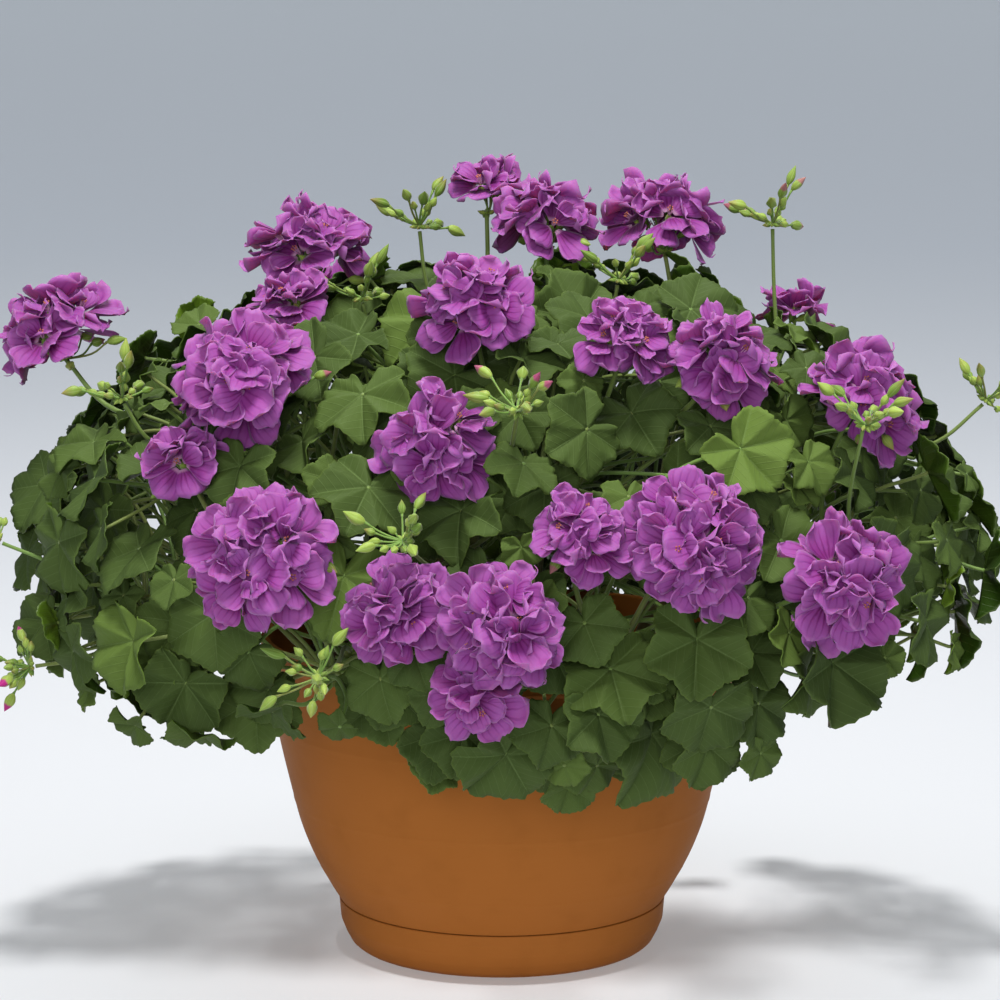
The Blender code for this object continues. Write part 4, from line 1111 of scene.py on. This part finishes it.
class Graph:
    """A material under construction, with short names for the nodes it uses."""

    def __init__(self, name, **constants):
        self.material = bpy.data.materials.new(name)
        self.material.use_nodes = True
        self.tree = self.material.node_tree
        self.shader = self.tree.nodes["Principled BSDF"]
        for key, value in constants.items():
            self.shader.inputs[key.replace("_", " ")].default_value = value

    def feed(self, socket, wire):
        """Set a socket to a constant or link it."""
        if isinstance(wire, (int, float, tuple)):
            socket.default_value = wire
        else:
            self.tree.links.new(wire, socket)

    def node(self, kind, wires, **settings):
        """Add a node, set it up and feed the named inputs."""
        item = self.tree.nodes.new(kind)
        for key, value in settings.items():
            setattr(item, key, value)
        for key, wire in wires.items():
            self.feed(item.inputs[key], wire)
        return item

    def math(self, operation, *wires, clamp=False):
        """Result of a math node."""
        return self.node("ShaderNodeMath", dict(enumerate(wires)), operation=operation,
                         use_clamp=clamp).outputs[0]

    def times(self, first, second, clamp=False):
        """Product of two values."""
        return self.math("MULTIPLY", first, second, clamp=clamp)

    def coat(self, colour, over, share, strength=1.0):
        """A colour covered by another, given in screen values, to a share."""
        if strength != 1.0:
            share = self.times(share, strength)
        return self.mix(share, colour, srgb(*over))

    def attribute(self, name):
        """Three numbers that the mesh holds under a name."""
        item = self.node("ShaderNodeAttribute", {}, attribute_name=name)
        return self.node("ShaderNodeSeparateXYZ", {0: item.outputs["Vector"]}).outputs

    def noise(self, scale, detail=2.0, stretch=(1.0, 1.0, 1.0)):
        """Noise from 0 to 1 in metres, stretched along the axes."""
        place = self.node("ShaderNodeTexCoord", {}).outputs["Object"]
        place = self.node("ShaderNodeVectorMath", {0: place, 1: stretch}, operation="MULTIPLY").outputs[0]
        return self.node("ShaderNodeTexNoise", {"Vector": place, "Scale": scale, "Detail": detail}).outputs[0]

    def band(self, value, low, high):
        """Smooth step from 0 at low to 1 at high."""
        return self.node("ShaderNodeMapRange", {0: value, 1: low, 2: high, 3: 0.0, 4: 1.0},
                         interpolation_type="SMOOTHSTEP").outputs[0]

    def mix(self, share, first, second):
        """Blend of two colours."""
        return self.node("ShaderNodeMix", {0: share, 6: first, 7: second}, data_type="RGBA").outputs[2]

    def finish(self, colour, roughness, height=None, depth=0.0005, strength=0.6):
        """Wire colour, roughness and bump into the shader and return the material."""
        self.feed(self.shader.inputs["Base Color"], colour)
        self.feed(self.shader.inputs["Roughness"], roughness)
        if height is not None:
            bump = self.node("ShaderNodeBump", {"Strength": strength, "Distance": depth, "Height": height})
            self.tree.links.new(bump.outputs[0], self.shader.inputs["Normal"])
        return self.material


def leaf_material(name, under):
    """Blade of a leaf: veins, a dark zone round the middle, a pale rim, and tone by age."""
    graph = Graph(name, **{"Specular IOR Level": 0.26 if not under else 0.12, "Sheen Weight": 0.0,
                           "Sheen Roughness": 0.5})
    ahead, aside, share = graph.attribute("place")
    luck, age, zone = graph.attribute("tone")
    aside = graph.math("ABSOLUTE", aside)
    reach = graph.math("SQRT", graph.math("ADD", graph.times(ahead, ahead),
                                          graph.times(aside, aside)))
    veins = 0.0
    nets = 0.0
    for angle in VEIN_ANGLES[:-1]:
        cos, sin = math.cos(math.radians(angle)), math.sin(math.radians(angle))
        gap = graph.math("ABSOLUTE", graph.math("SUBTRACT", graph.times(ahead, sin),
                                                graph.times(aside, cos)))
        along = graph.math("ADD", graph.times(ahead, cos), graph.times(aside, sin))
        width = graph.math("MULTIPLY_ADD", along, -0.018, 0.027)
        line = graph.math("SUBTRACT", 1.0, graph.math("DIVIDE", gap, width), clamp=True)
        line = graph.times(line, graph.band(along, 0.0, 0.03))
        veins = graph.math("MAXIMUM", veins, line)
        step = graph.math("FRACT", graph.math("SUBTRACT", graph.times(along, 7.0),
                                              graph.times(gap, 5.5)))
        net = graph.band(graph.math("ABSOLUTE", graph.math("SUBTRACT", step, 0.5)), 0.09, 0.0)
        near = graph.math("LESS_THAN", gap, graph.times(along, 0.60))
        nets = graph.math("MAXIMUM", nets, graph.times(net, near))
    speck = graph.noise(420.0, 3.0)
    patch = graph.noise(46.0, 2.0)
    cloud = graph.noise(9.0, 1.0)
    if under:
        colour = graph.mix(patch, srgb(56, 72, 34), srgb(70, 88, 42))
        colour = graph.coat(colour, (108, 132, 58), age, 0.7)
    else:
        colour = graph.mix(patch, srgb(19, 31, 5), srgb(31, 47, 8))
        colour = graph.coat(colour, (44, 68, 12), graph.band(luck, 0.45, 1.0), 0.65)
        colour = graph.coat(colour, (27, 43, 13), graph.band(cloud, 0.45, 0.70), 0.7)
        colour = graph.coat(colour, (44, 72, 18), graph.band(reach, 0.15, 0.85), 0.45)
        colour = graph.coat(colour, (20, 30, 8), graph.band(luck, 0.40, 0.05), 0.55)
        colour = graph.coat(colour, (106, 136, 38), age)
        ring = graph.math("SUBTRACT", graph.band(reach, 0.10, 0.26), graph.band(reach, 0.40, 0.66))
        ring = graph.times(ring, graph.band(graph.math("ADD", speck, patch), 0.6, 1.1))
        ring = graph.times(ring, zone, clamp=True)
        colour = graph.coat(colour, (24, 20, 10), ring)
    pale = srgb(84, 108, 48) if not under else srgb(112, 134, 80)
    colour = graph.mix(graph.times(nets, 0.18), colour, pale)
    colour = graph.mix(graph.times(veins, 0.40), colour, pale)
    rim = graph.times(graph.band(share, 0.955, 1.0), 0.40)
    colour = graph.coat(colour, (92, 112, 48), rim)
    height = graph.times(speck, 0.35)
    height = graph.math("ADD", height, graph.times(patch, 0.6))
    sign = 1.0 if under else -1.0
    height = graph.math("MULTIPLY_ADD", nets, 0.30 * sign, height)
    height = graph.math("MULTIPLY_ADD", veins, 0.80 * sign, height)
    rough = graph.math("MULTIPLY_ADD", speck, 0.20, 0.60 if under else 0.27)
    return graph.finish(colour, rough, height, depth=0.0008)


def petal_material():
    """Petal: paler margin and throat, dark feathering over the claw, fine lengthwise veins, and painted shade
    darkening its lower half towards the floret's middle.
    """
    graph = Graph("petal", **{"Specular IOR Level": 0.16, "Sheen Weight": 0.10, "Sheen Roughness": 0.4,
                              "Subsurface Weight": 0.12, "Subsurface Scale": 0.004})
    along, side, luck = graph.attribute("place")
    light, chance, _ = graph.attribute("tone")
    aside = graph.math("ABSOLUTE", side)
    patch = graph.noise(150.0, 2.0)
    speck = graph.noise(900.0, 2.0)
    # Painted shade: each petal is darkened towards the floret's middle, where the petals overlap and shade
    # one another.
    painted_throat_shade = graph.band(along, 0.62, 0.10)
    colour = graph.mix(light, srgb(128, 46, 127), srgb(148, 70, 148))
    colour = graph.coat(colour, (98, 10, 88), painted_throat_shade, 0.62)
    colour = graph.coat(colour, (142, 50, 136), chance, 0.5)
    colour = graph.coat(colour, (152, 82, 155), graph.band(patch, 0.40, 0.75), 0.35)
    colour = graph.coat(colour, (160, 94, 163), graph.band(along, 0.38, 0.85), 0.45)
    edge = graph.math("MAXIMUM", graph.band(along, 0.86, 1.0), graph.band(aside, 0.84, 1.0))
    colour = graph.coat(colour, (176, 124, 180), edge, 0.40)
    wave = graph.math("MULTIPLY_ADD", side, 17.0, graph.times(patch, 2.5))
    wave = graph.math("SINE", wave)
    line = graph.times(graph.band(wave, 0.45, 0.98), graph.band(along, 1.05, 0.35))
    colour = graph.coat(colour, (108, 24, 106), line, 0.62)
    feather = graph.times(graph.band(along, 0.60, 0.16), graph.band(aside, 0.75, 0.15))
    feather = graph.times(feather, graph.band(wave, -0.9, 0.5))
    strong = graph.math("MULTIPLY_ADD", luck, 0.6, 0.25)
    colour = graph.mix(graph.times(feather, strong), colour, srgb(96, 8, 78))
    colour = graph.coat(colour, (214, 160, 200), graph.band(along, 0.15, 0.02), 0.8)
    height = graph.math("MULTIPLY_ADD", line, -0.5, graph.times(speck, 0.25))
    height = graph.math("MULTIPLY_ADD", patch, 0.5, height)
    rough = graph.math("MULTIPLY_ADD", speck, 0.2, 0.46)
    return graph.finish(colour, rough, height, depth=0.0005)


def green_material():
    """Pedicels, calyces, buds and stamens: what each is comes with the mesh."""
    graph = Graph("bud_and_stalk", **{"Specular IOR Level": 0.3, "Sheen Weight": 0.2, "Sheen Roughness": 0.35,
                                      "Subsurface Weight": 0.06, "Subsurface Scale": 0.003})
    along, ridge, kind = graph.attribute("place")
    luck, opening, second = graph.attribute("tone")
    patch = graph.noise(120.0, 2.0)
    speck = graph.noise(1300.0, 2.0)
    stalk = graph.mix(patch, srgb(94, 128, 56), srgb(124, 154, 72))
    stalk = graph.coat(stalk, (134, 92, 62), graph.band(luck, 0.55, 1.0), 0.35)
    bud = graph.mix(luck, srgb(98, 128, 46), srgb(150, 172, 76))
    bud = graph.coat(bud, (176, 196, 124), graph.band(ridge, 0.30, 0.02), 0.45)
    red = graph.times(graph.band(along, 0.35, 1.0), graph.band(second, 0.45, 0.95))
    bud = graph.coat(bud, (142, 84, 62), red, 0.5)
    tip = graph.times(graph.band(along, 0.52, 0.66), opening, clamp=True)
    bud = graph.mix(tip, bud, srgb(168, 30, 118))
    colour = graph.mix(graph.math("GREATER_THAN", kind, 0.5), stalk, bud)
    stamen = graph.mix(graph.band(along, 0.8, 0.95), srgb(206, 150, 190), srgb(176, 96, 70))
    colour = graph.mix(graph.math("GREATER_THAN", kind, 2.5), colour, stamen)
    height = graph.math("MULTIPLY_ADD", patch, 0.4, speck)
    rough = graph.math("MULTIPLY_ADD", speck, 0.2, 0.45)
    return graph.finish(colour, rough, height, depth=0.0002)


def stem_material():
    """Stems and petioles: green, brownish and woody where the stem is old."""
    graph = Graph("stem", **{"Specular IOR Level": 0.3, "Sheen Weight": 0.15, "Sheen Roughness": 0.4})
    along = graph.attribute("place")[0]
    luck, woody, _ = graph.attribute("tone")
    patch = graph.noise(90.0, 3.0, (1.0, 1.0, 0.35))
    speck = graph.noise(1100.0, 2.0)
    colour = graph.mix(patch, srgb(88, 120, 54), srgb(116, 146, 70))
    colour = graph.coat(colour, (126, 96, 62), luck, 0.35)
    bark = graph.times(woody, graph.band(along, 0.75, 0.10), clamp=True)
    colour = graph.coat(colour, (104, 84, 56), bark)
    height = graph.math("MULTIPLY_ADD", patch, 1.4, speck)
    rough = graph.math("MULTIPLY_ADD", patch, 0.2, 0.42)
    return graph.finish(colour, rough, height, depth=0.0003)


def pot_material():
    """Satin moulded plastic in terracotta, a little mottled, with faint rings."""
    graph = Graph("terracotta_plastic_fine", **{"Specular IOR Level": 0.04, "Coat Weight": 0.0,
                                                "Coat Roughness": 0.35})
    patch = graph.noise(7.0, 3.0)
    cloud = graph.noise(38.0, 3.0)
    grain = graph.noise(2100.0, 2.0)
    rings = graph.noise(1.0, 3.0, (4.0, 4.0, 520.0))
    colour = graph.mix(patch, srgb(152, 91, 38), srgb(162, 98, 44))
    colour = graph.coat(colour, (132, 77, 30), graph.band(cloud, 0.5, 0.8), 0.25)
    colour = graph.coat(colour, (168, 108, 52), rings, 0.12)
    height = graph.math("MULTIPLY_ADD", rings, 0.5, graph.times(grain, 0.5))
    rough = graph.math("MULTIPLY_ADD", cloud, 0.14, 0.46)
    return graph.finish(colour, rough, height, depth=0.0003, strength=0.5)


def soil_material():
    """Moist potting mix: dark crumbs with bark and pale grains of perlite."""
    graph = Graph("potting_mix", **{"Specular IOR Level": 0.25})
    pale = graph.attribute("place")[2]
    luck = graph.attribute("tone")[0]
    crumb = graph.noise(260.0, 4.0)
    patch = graph.noise(40.0, 2.0)
    colour = graph.mix(graph.band(crumb, 0.3, 0.75), srgb(38, 27, 20), srgb(78, 58, 42))
    colour = graph.coat(colour, (58, 40, 28), patch, 0.4)
    colour = graph.coat(colour, (104, 74, 50), luck, 0.6)
    colour = graph.coat(colour, (206, 202, 192), pale)
    rough = graph.math("MULTIPLY_ADD", crumb, 0.2, 0.74)
    return graph.finish(colour, rough, crumb, depth=0.0015)


# ---------------------------------------------------------------- leaves and stems of the shoots

def find_extra_leaves(placed, chance):
    """Leaves that fill the room between the modelled ones, at several depths."""
    added = []
    for depth, shortest, longest, wanted in EXTRA_LEAVES:
        made = 0
        for spot in range(EXTRA_SPOTS):
            if made >= wanted:
                break
            share = (spot * EVEN_STEPS[0] + 0.37 + depth) % 1.0
            azimuth = (spot * EVEN_STEPS[1] + 0.61) % 1.0 * 360.0
            elevation = math.degrees(math.asin(LOWEST_LEAF + (1.0 - LOWEST_LEAF) * share))
            length = LEAF_LENGTH * chance.uniform(shortest, longest)
            over = depth + chance.uniform(-0.006, 0.006)
            leaf = find_leaf(placed, chance, azimuth, elevation, over, length, 0, 5)
            if leaf:
                added.append(leaf)
                made += 1
    placed.forget(STUB)
    return added


def hang_leaf(shoots, placed, leaf, radius):
    """Give a leaf its petiole from a free node, or from the nearest point of a shoot."""
    if add_branch(shoots, placed, leaf.petiole_end(), leaf.arrive(), PETIOLE_LENGTH, radius, leaf):
        return
    end = leaf.petiole_end()
    best = None
    for shoot in shoots:
        for step in range(6, 20):
            point, _, _ = shoot.line.at(shoot.line.length * step / 20)
            gap = (end - point).length
            if best is None or gap < best[0]:
                best = (gap, shoot, point)
    gap, shoot, point = best
    points = bend(point, point + UP * gap * 0.15, end - leaf.arrive() * gap * 0.4, end, BRANCH_STOPS)
    shoot.branches.append(Branch(Line(points), radius, leaf))


def leaf_tint(leaf, chance):
    """Luck, age and strength of the dark zone of a leaf."""
    luck = chance.random()
    if leaf.tint:
        return (luck, *leaf.tint)
    young = chance.random()
    age = 0.55 + 0.4 * luck if young > 0.97 else 0.26 * young * young
    if leaf.length < LEAF_LENGTH * 0.6:
        age = max(age, chance.uniform(0.15, 0.6))
    zone = chance.choice((0.1, 0.3, 0.5, 0.8, 1.0)) * (1.0 - age)
    return (luck, age, zone)


def dress_shoot(shoot, leaf_looks, stem_look):
    """Fine blades and stems of one shoot."""
    chance = random.Random(SHOOT_SEED + shoot.number)
    node = f"shoot_{shoot.number + 1:02d}"
    blades = Skin()
    stems = Skin()
    line = shoot.line
    points, radii = [], []
    for step in range(STEM_STEPS + 1):
        distance = line.length * step / STEM_STEPS
        point, _, _ = line.at(distance)
        swell = 1.0
        for place in range(len(SHOOT_NODES)):
            offset = distance - shoot.node_distance(place)
            swell += (NODE_SWELL - 1.0) * 1.4 * math.exp(-(offset / 0.004) ** 2)
        points.append(point)
        radii.append(shoot.radius(distance) * swell)
    add_tube(stems, smooth_line(points, 1), radii, 12, (chance.random(), 1.0, 0.0), 0.0)
    for branch in shoot.branches:
        path = smooth_line(branch.line.points, 6)
        if branch.leaf:
            path.append(branch.leaf.point + branch.leaf.normal * 0.0004)
        taper = [branch.radius * (1.25 - 0.35 * index / len(path)) for index in range(len(path))]
        taper[0] *= 1.5
        taper[1] *= 1.2
        taper[-1] *= 1.1
        add_tube(stems, path, taper, 8, (chance.random(), 0.0, 0.0), 0.0)
        start, way = branch.line.points[0], branch.line.tangents[0]
        side = branch.line.sides[0]
        for sign in (-1.0, 1.0):
            add_bud(stems, start, (side * sign + way * 0.9).normalized(), 0.008, 0.0022, chance)
        if branch.leaf:
            add_leaf(blades, branch.leaf, chance, leaf_tint(branch.leaf, chance))
    leaf_piece = blades.finish(f"leaves_{shoot.number + 1:02d}", leaf_looks[0], node, "leaf_green",
                               LEAF_SHEET)
    leaf_piece.data.materials.append(leaf_looks[1])
    leaf_piece.modifiers["Thickness"].material_offset = 1
    stems.finish(f"stems_{shoot.number + 1:02d}", stem_look, node, "leaf_green")


def check_shoot(shoot):
    """Stop if a shoot doesn't lie where the CAD model has it."""
    points = list(shoot.line.points)
    for branch in shoot.branches:
        if branch.leaf:
            points += [branch.leaf.spot(angle, reach) for angle, reach in branch.leaf.outline()]
        else:
            points.append(branch.line.points[-1])
    low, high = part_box(f"shoot_{shoot.number + 1:02d}")
    for axis in range(3):
        values = [point[axis] for point in points]
        if max(abs(min(values) - low[axis]), abs(max(values) - high[axis])) > LAYOUT_SLACK:
            raise ValueError(f"shoot {shoot.number + 1} isn't laid out as in the CAD model")


# ---------------------------------------------------------------- pot, saucer and soil

def turned(profile, spokes):
    """Points and quads of an outline of radii and heights turned round the upright axis."""
    turn = np.arange(spokes) * 2 * math.pi / spokes
    rows = np.array(profile)
    points = np.stack([rows[:, 0:1] * np.cos(turn), rows[:, 0:1] * np.sin(turn),
                       np.broadcast_to(rows[:, 1:2], (len(rows), spokes))], axis=-1)
    return points.reshape(-1, 3), grid_quads(len(rows), spokes, True)


def add_turned(name, profile, material, node, slot_name):
    """Round piece turned from an outline."""
    skin = Skin()
    points, quads = turned(profile, POT_SPOKES)
    skin.add(points, quads, np.zeros_like(points), (0, 0, 0))
    return skin.finish(name, material, node, slot_name)


def rounded(profile, corner, steps=3):
    """Outline with each corner turned into a small arc."""
    made = [profile[0]]
    for before, at, after in zip(profile, profile[1:], profile[2:]):
        a, b, c = (np.array(point, dtype=float) for point in (before, at, after))
        first, second = a - b, c - b
        reach = min(corner, np.linalg.norm(first) * 0.45, np.linalg.norm(second) * 0.45)
        start = b + first / max(np.linalg.norm(first), 1e-9) * reach
        end = b + second / max(np.linalg.norm(second), 1e-9) * reach
        for step in range(steps + 1):
            t = step / steps
            made.append(tuple(start * (1 - t) ** 2 + b * 2 * t * (1 - t) + end * t * t))
    made.append(profile[-1])
    return made


def bowl_curve():
    """Outer side of the bowl as a smooth curve, as radius and height, with its faint rings."""
    known = bowl_profile() + [(RIM_RADIUS, POT_HEIGHT)]
    line = smooth_line([Vector((radius, 0.0, height)) for radius, height in known], 9)
    made = []
    for point in line:
        if point.z > POT_HEIGHT - RIM_BEAD_HEIGHT - 0.001:
            continue
        ring = sum(math.exp(-((point.z - mark) / 0.0012) ** 2) for mark in POT_RINGS)
        made.append((point.x + POT_RING_HEIGHT * ring, point.z))
    return made


def dress_pot(material):
    """Fine pot: foot, shoulder, bowl, rim bead and inside, with a closed floor."""
    low = SAUCER_FLOOR + FIT
    outer = bowl_curve()
    foot = SAUCER_FOOT_RADIUS - WALL - 0.0015
    shoulder = SAUCER_RADIUS - WALL * 0.8 - 0.0020
    under = [(0.0, low), (foot, low), (shoulder, SAUCER_HEIGHT + FIT)]
    bead = POT_HEIGHT - RIM_BEAD_HEIGHT
    rim = [(RIM_RADIUS + RIM_BEAD, bead), (RIM_RADIUS + RIM_BEAD, POT_HEIGHT),
           (RIM_RADIUS - WALL, POT_HEIGHT)]
    inside = [(radius - WALL, height) for radius, height in reversed(outer)]
    outline = under + outer + rim + inside + [(foot - WALL, low + WALL), (0.0, low + WALL)]
    outline = rounded(outline, POT_CORNER)
    return add_turned("pot_fine", outline, material, "pot", "terracotta_plastic")


def dress_saucer(material):
    """Fine saucer with a rounded lip and foot."""
    inner = SAUCER_RADIUS - WALL * 0.8
    outline = [(0.0, SAUCER_FLOOR), (SAUCER_FOOT_RADIUS - WALL, SAUCER_FLOOR), (inner, SAUCER_HEIGHT),
               (SAUCER_RADIUS, SAUCER_HEIGHT), (SAUCER_FOOT_RADIUS + 0.0068, 0.0165),
               (SAUCER_FOOT_RADIUS + 0.0038, 0.009), (SAUCER_FOOT_RADIUS + 0.0005, 0.0028),
               (SAUCER_FOOT_RADIUS - 0.003, 0.0), (SAUCER_FOOT_RADIUS - 0.008, 0.0),
               (SAUCER_FOOT_RADIUS - 0.010, 0.0008), (0.0, 0.0008)]
    outline = rounded(outline, POT_CORNER)[::-1]
    return add_turned("saucer_fine", outline, material, "saucer", "terracotta_plastic")


def dress_soil(material):
    """Uneven soil surface strewn with bark, crumbs and perlite."""
    chance = random.Random(SOIL_SEED)
    skin = Skin()
    top = bowl_radius(SOIL_HEIGHT) - WALL - FIT
    rows = np.linspace(0.0, 1.0, SOIL_ROWS)
    turn = np.arange(SOIL_SPOKES) * 2 * math.pi / SOIL_SPOKES
    radius = rows[:, None] * top * np.ones(SOIL_SPOKES)
    x, y = radius * np.cos(turn), radius * np.sin(turn)
    waves = np.zeros_like(x)
    for _ in range(40):
        way = chance.uniform(0, 2 * math.pi)
        pace = chance.uniform(80, 700)
        size = 0.09 / pace
        waves += size * np.sin((x * math.cos(way) + y * math.sin(way)) * pace + chance.uniform(0, 6.28))
    height = SOIL_HEIGHT + SOIL_CROWN * (1 - rows[:, None] ** 2) + waves * (1 - rows[:, None] ** 8)
    points = np.stack([x, y, height], axis=-1)
    skirt = points[-1:].copy()
    skirt[..., 2] = SOIL_HEIGHT - 0.012
    floor = skirt * np.array([0.0, 0.0, 1.0])
    points = np.concatenate([points, skirt, floor])
    places = np.zeros_like(points)
    skin.add(points.reshape(-1, 3), grid_quads(len(points), SOIL_SPOKES, True), places.reshape(-1, 3),
             (0.2, 0, 0))
    for index in range(SOIL_LUMPS):
        reach = top * 0.97 * math.sqrt(chance.random())
        way = chance.uniform(0, 2 * math.pi)
        perlite = 1.0 if index % 7 == 0 else 0.0
        size = chance.uniform(0.0012, 0.0024) if perlite else chance.uniform(0.0018, 0.0070)
        flat = 1.0 if perlite else chance.uniform(0.25, 0.7)
        centre = Vector((reach * math.cos(way), reach * math.sin(way),
                         SOIL_HEIGHT + SOIL_CROWN * (1 - (reach / top) ** 2) + size * flat * 0.25))
        add_lump(skin, centre, size, flat, chance, perlite)
    return skin.finish("soil_fine", material, "potting_soil", "potting_soil")


def add_lump(skin, centre, size, flat, chance, pale):
    """One rough lump: a ball of quads pushed about and flattened."""
    rows, columns = 5, 7
    lean = np.linspace(0.0, math.pi, rows)[:, None]
    turn = np.arange(columns)[None, :] * 2 * math.pi / columns
    ball = np.stack(np.broadcast_arrays(np.sin(lean) * np.cos(turn), np.sin(lean) * np.sin(turn),
                                        np.cos(lean)), -1)
    push = np.array([[chance.uniform(0.65, 1.25) for _ in range(columns)] for _ in range(rows)])
    push[0] = push[0, 0]
    push[-1] = push[-1, 0]
    shape = ball * push[..., None] * np.array([size, size * chance.uniform(0.5, 1.0), size * flat])
    angle, tilt = chance.uniform(0, 6.28), chance.uniform(-0.4, 0.4)
    cos, sin = math.cos(angle), math.sin(angle)
    x = shape[..., 0] * cos - shape[..., 1] * sin
    y = shape[..., 0] * sin + shape[..., 1] * cos
    z = shape[..., 2] + x * tilt
    points = array(centre) + np.stack([x, y, z], axis=-1)
    places = np.zeros_like(points)
    places[..., 2] = pale
    skin.add(points.reshape(-1, 3), grid_quads(rows, columns, True), places.reshape(-1, 3),
             (chance.random(), 0, 0))


# ---------------------------------------------------------------- floor, light and camera

def add_floor():
    """Wide pale floor that rises into a backdrop far from the plant on every side, its colour painted paler
    near the pot and darker far off as a pool of light.
    """
    profile = [(radius, 0.0) for radius in FLOOR_RADII]
    for step in range(1, FLOOR_STEPS + 1):
        turn = math.radians(90.0 * step / FLOOR_STEPS)
        profile.append((FLOOR_RADII[-1] + FLOOR_BEND * math.sin(turn), FLOOR_BEND * (1.0 - math.cos(turn))))
    profile.append((FLOOR_FAR, FLOOR_TOP))
    points, quads = turned(profile, FLOOR_SPOKES)
    mesh = bpy.data.meshes.new("floor")
    mesh.from_pydata(points.tolist(), [], quads.tolist())
    mesh.polygons.foreach_set("use_smooth", np.ones(len(quads), dtype=bool))
    floor = bpy.data.objects.new("floor", mesh)
    bpy.context.scene.collection.objects.link(floor)
    graph = Graph("studio_floor", **{"Specular IOR Level": 0.08})
    place = graph.node("ShaderNodeTexCoord", {}).outputs["Object"]
    far = graph.node("ShaderNodeVectorMath", {0: place}, operation="LENGTH").outputs["Value"]
    share = graph.math("POWER", graph.math("DIVIDE", far, FLOOR_FAR, clamp=True), 0.5)
    # Painted light: the floor's colour is paler near the pot and darker far off, standing in for the fall-off
    # of the lamps.
    ramp = graph.node("ShaderNodeValToRGB", {0: share})
    stops = ramp.color_ramp.elements
    for index, (distance, colour) in enumerate(FLOOR_PAINTED_FALLOFF_TONES):
        stop = stops[index] if index < 2 else stops.new(0.5)
        stop.position = math.sqrt(distance / FLOOR_FAR)
        stop.color = (*colour, 1.0)
    grain = graph.noise(240.0, 2.0)
    material = graph.finish(ramp.outputs[0], 0.92, grain, depth=0.0002, strength=0.1)
    mesh.materials.append(material)
    STAGE.objects.link(floor)


def add_light(name, kind, place, target, size, power, colour, lit, blocker=None):
    """Soft lamp aimed at a point that lights one collection."""
    data = bpy.data.lights.new(name, kind)
    if kind == "AREA":
        data.size = size
    else:
        data.angle = size
    data.energy = power
    data.color = colour
    lamp = bpy.data.objects.new(name, data)
    lamp.location = place
    lamp.rotation_euler = (Vector(target) - Vector(place)).to_track_quat("-Z", "Y").to_euler()
    lamp.visible_camera = False
    lamp.light_linking.receiver_collection = lit
    if blocker:
        lamp.light_linking.blocker_collection = blocker
    bpy.context.scene.collection.objects.link(lamp)


def choose_shaders():
    """Let the saucer and the pieces a little behind the plant's middle shade the floor."""
    for piece in PLANT.objects:
        depths = [corner[1] for corner in piece.bound_box]
        middle = (max(depths) + min(depths)) / 2
        if piece.name == "saucer_fine" or SHADOW_BAND[0] < middle < SHADOW_BAND[1]:
            SHADERS.objects.link(piece)


def light_scene():
    """Lamps for the plant, lamps for the floor, and a faint surround."""
    world = bpy.data.worlds.new("studio")
    bpy.context.scene.world = world
    world.use_nodes = True
    sky = world.node_tree.nodes["Background"]
    sky.inputs["Color"].default_value = (*WORLD_COLOUR, 1.0)
    sky.inputs["Strength"].default_value = WORLD_STRENGTH
    for name, kind, place, target, size, power, colour, lit in LAMPS:
        blocker = {"floor": SHADERS, "floor, no shadow": STAGE}.get(lit)
        add_light(name, kind, place, target, size, power, colour, PLANT if lit == "plant" else STAGE, blocker)
    bpy.context.scene.view_settings.view_transform = "Standard"


def add_camera():
    """Camera at eye level in front, looking a little down."""
    data = bpy.data.cameras.new("camera")
    data.lens = CAMERA_LENS
    data.sensor_width = CAMERA_SENSOR
    data.clip_end = CAMERA_REACH
    camera = bpy.data.objects.new("camera", data)
    camera.location = CAMERA_PLACE
    camera.rotation_euler = (math.radians(90.0 - CAMERA_DOWN), 0.0, 0.0)
    bpy.context.scene.collection.objects.link(camera)
    bpy.context.scene.camera = camera


# ---------------------------------------------------------------- the whole plant

def dress():
    """Lay out the plant as in the CAD model and make every fine piece."""
    shoots, heads, buds, placed = lay_out()
    for shoot in shoots:
        check_shoot(shoot)
    chance = random.Random(EXTRA_SEED)
    for leaf in find_extra_leaves(placed, chance):
        hang_leaf(shoots, placed, leaf, PETIOLE_RADIUS * 0.9)
    leaf_looks = (leaf_material("leaf_top", False), leaf_material("leaf_under", True))
    stem_look = stem_material()
    petal_look = petal_material()
    green_look = green_material()
    pot_look = pot_material()
    for shoot in shoots:
        dress_shoot(shoot, leaf_looks, stem_look)
    for number, (centre, axis, radius) in enumerate(heads):
        petals, greens = head_greens_and_petals(number, centre, axis, radius)
        node = f"flower_head_{number + 1:02d}"
        petals.finish(f"petals_{number + 1:02d}", petal_look, node, "petal_purple", PETAL_SHEET)
        greens.finish(f"calyces_{number + 1:02d}", green_look, node, "bud_green")
    for number, (hub, axis, count) in enumerate(buds):
        greens = cluster_greens(number, hub, axis, count)
        greens.finish(f"buds_{number + 1:02d}", green_look, f"bud_cluster_{number + 1:02d}", "bud_green")
    dress_pot(pot_look)
    dress_saucer(pot_look)
    dress_soil(soil_material())


dress()
choose_shaders()
add_floor()
light_scene()
add_camera()
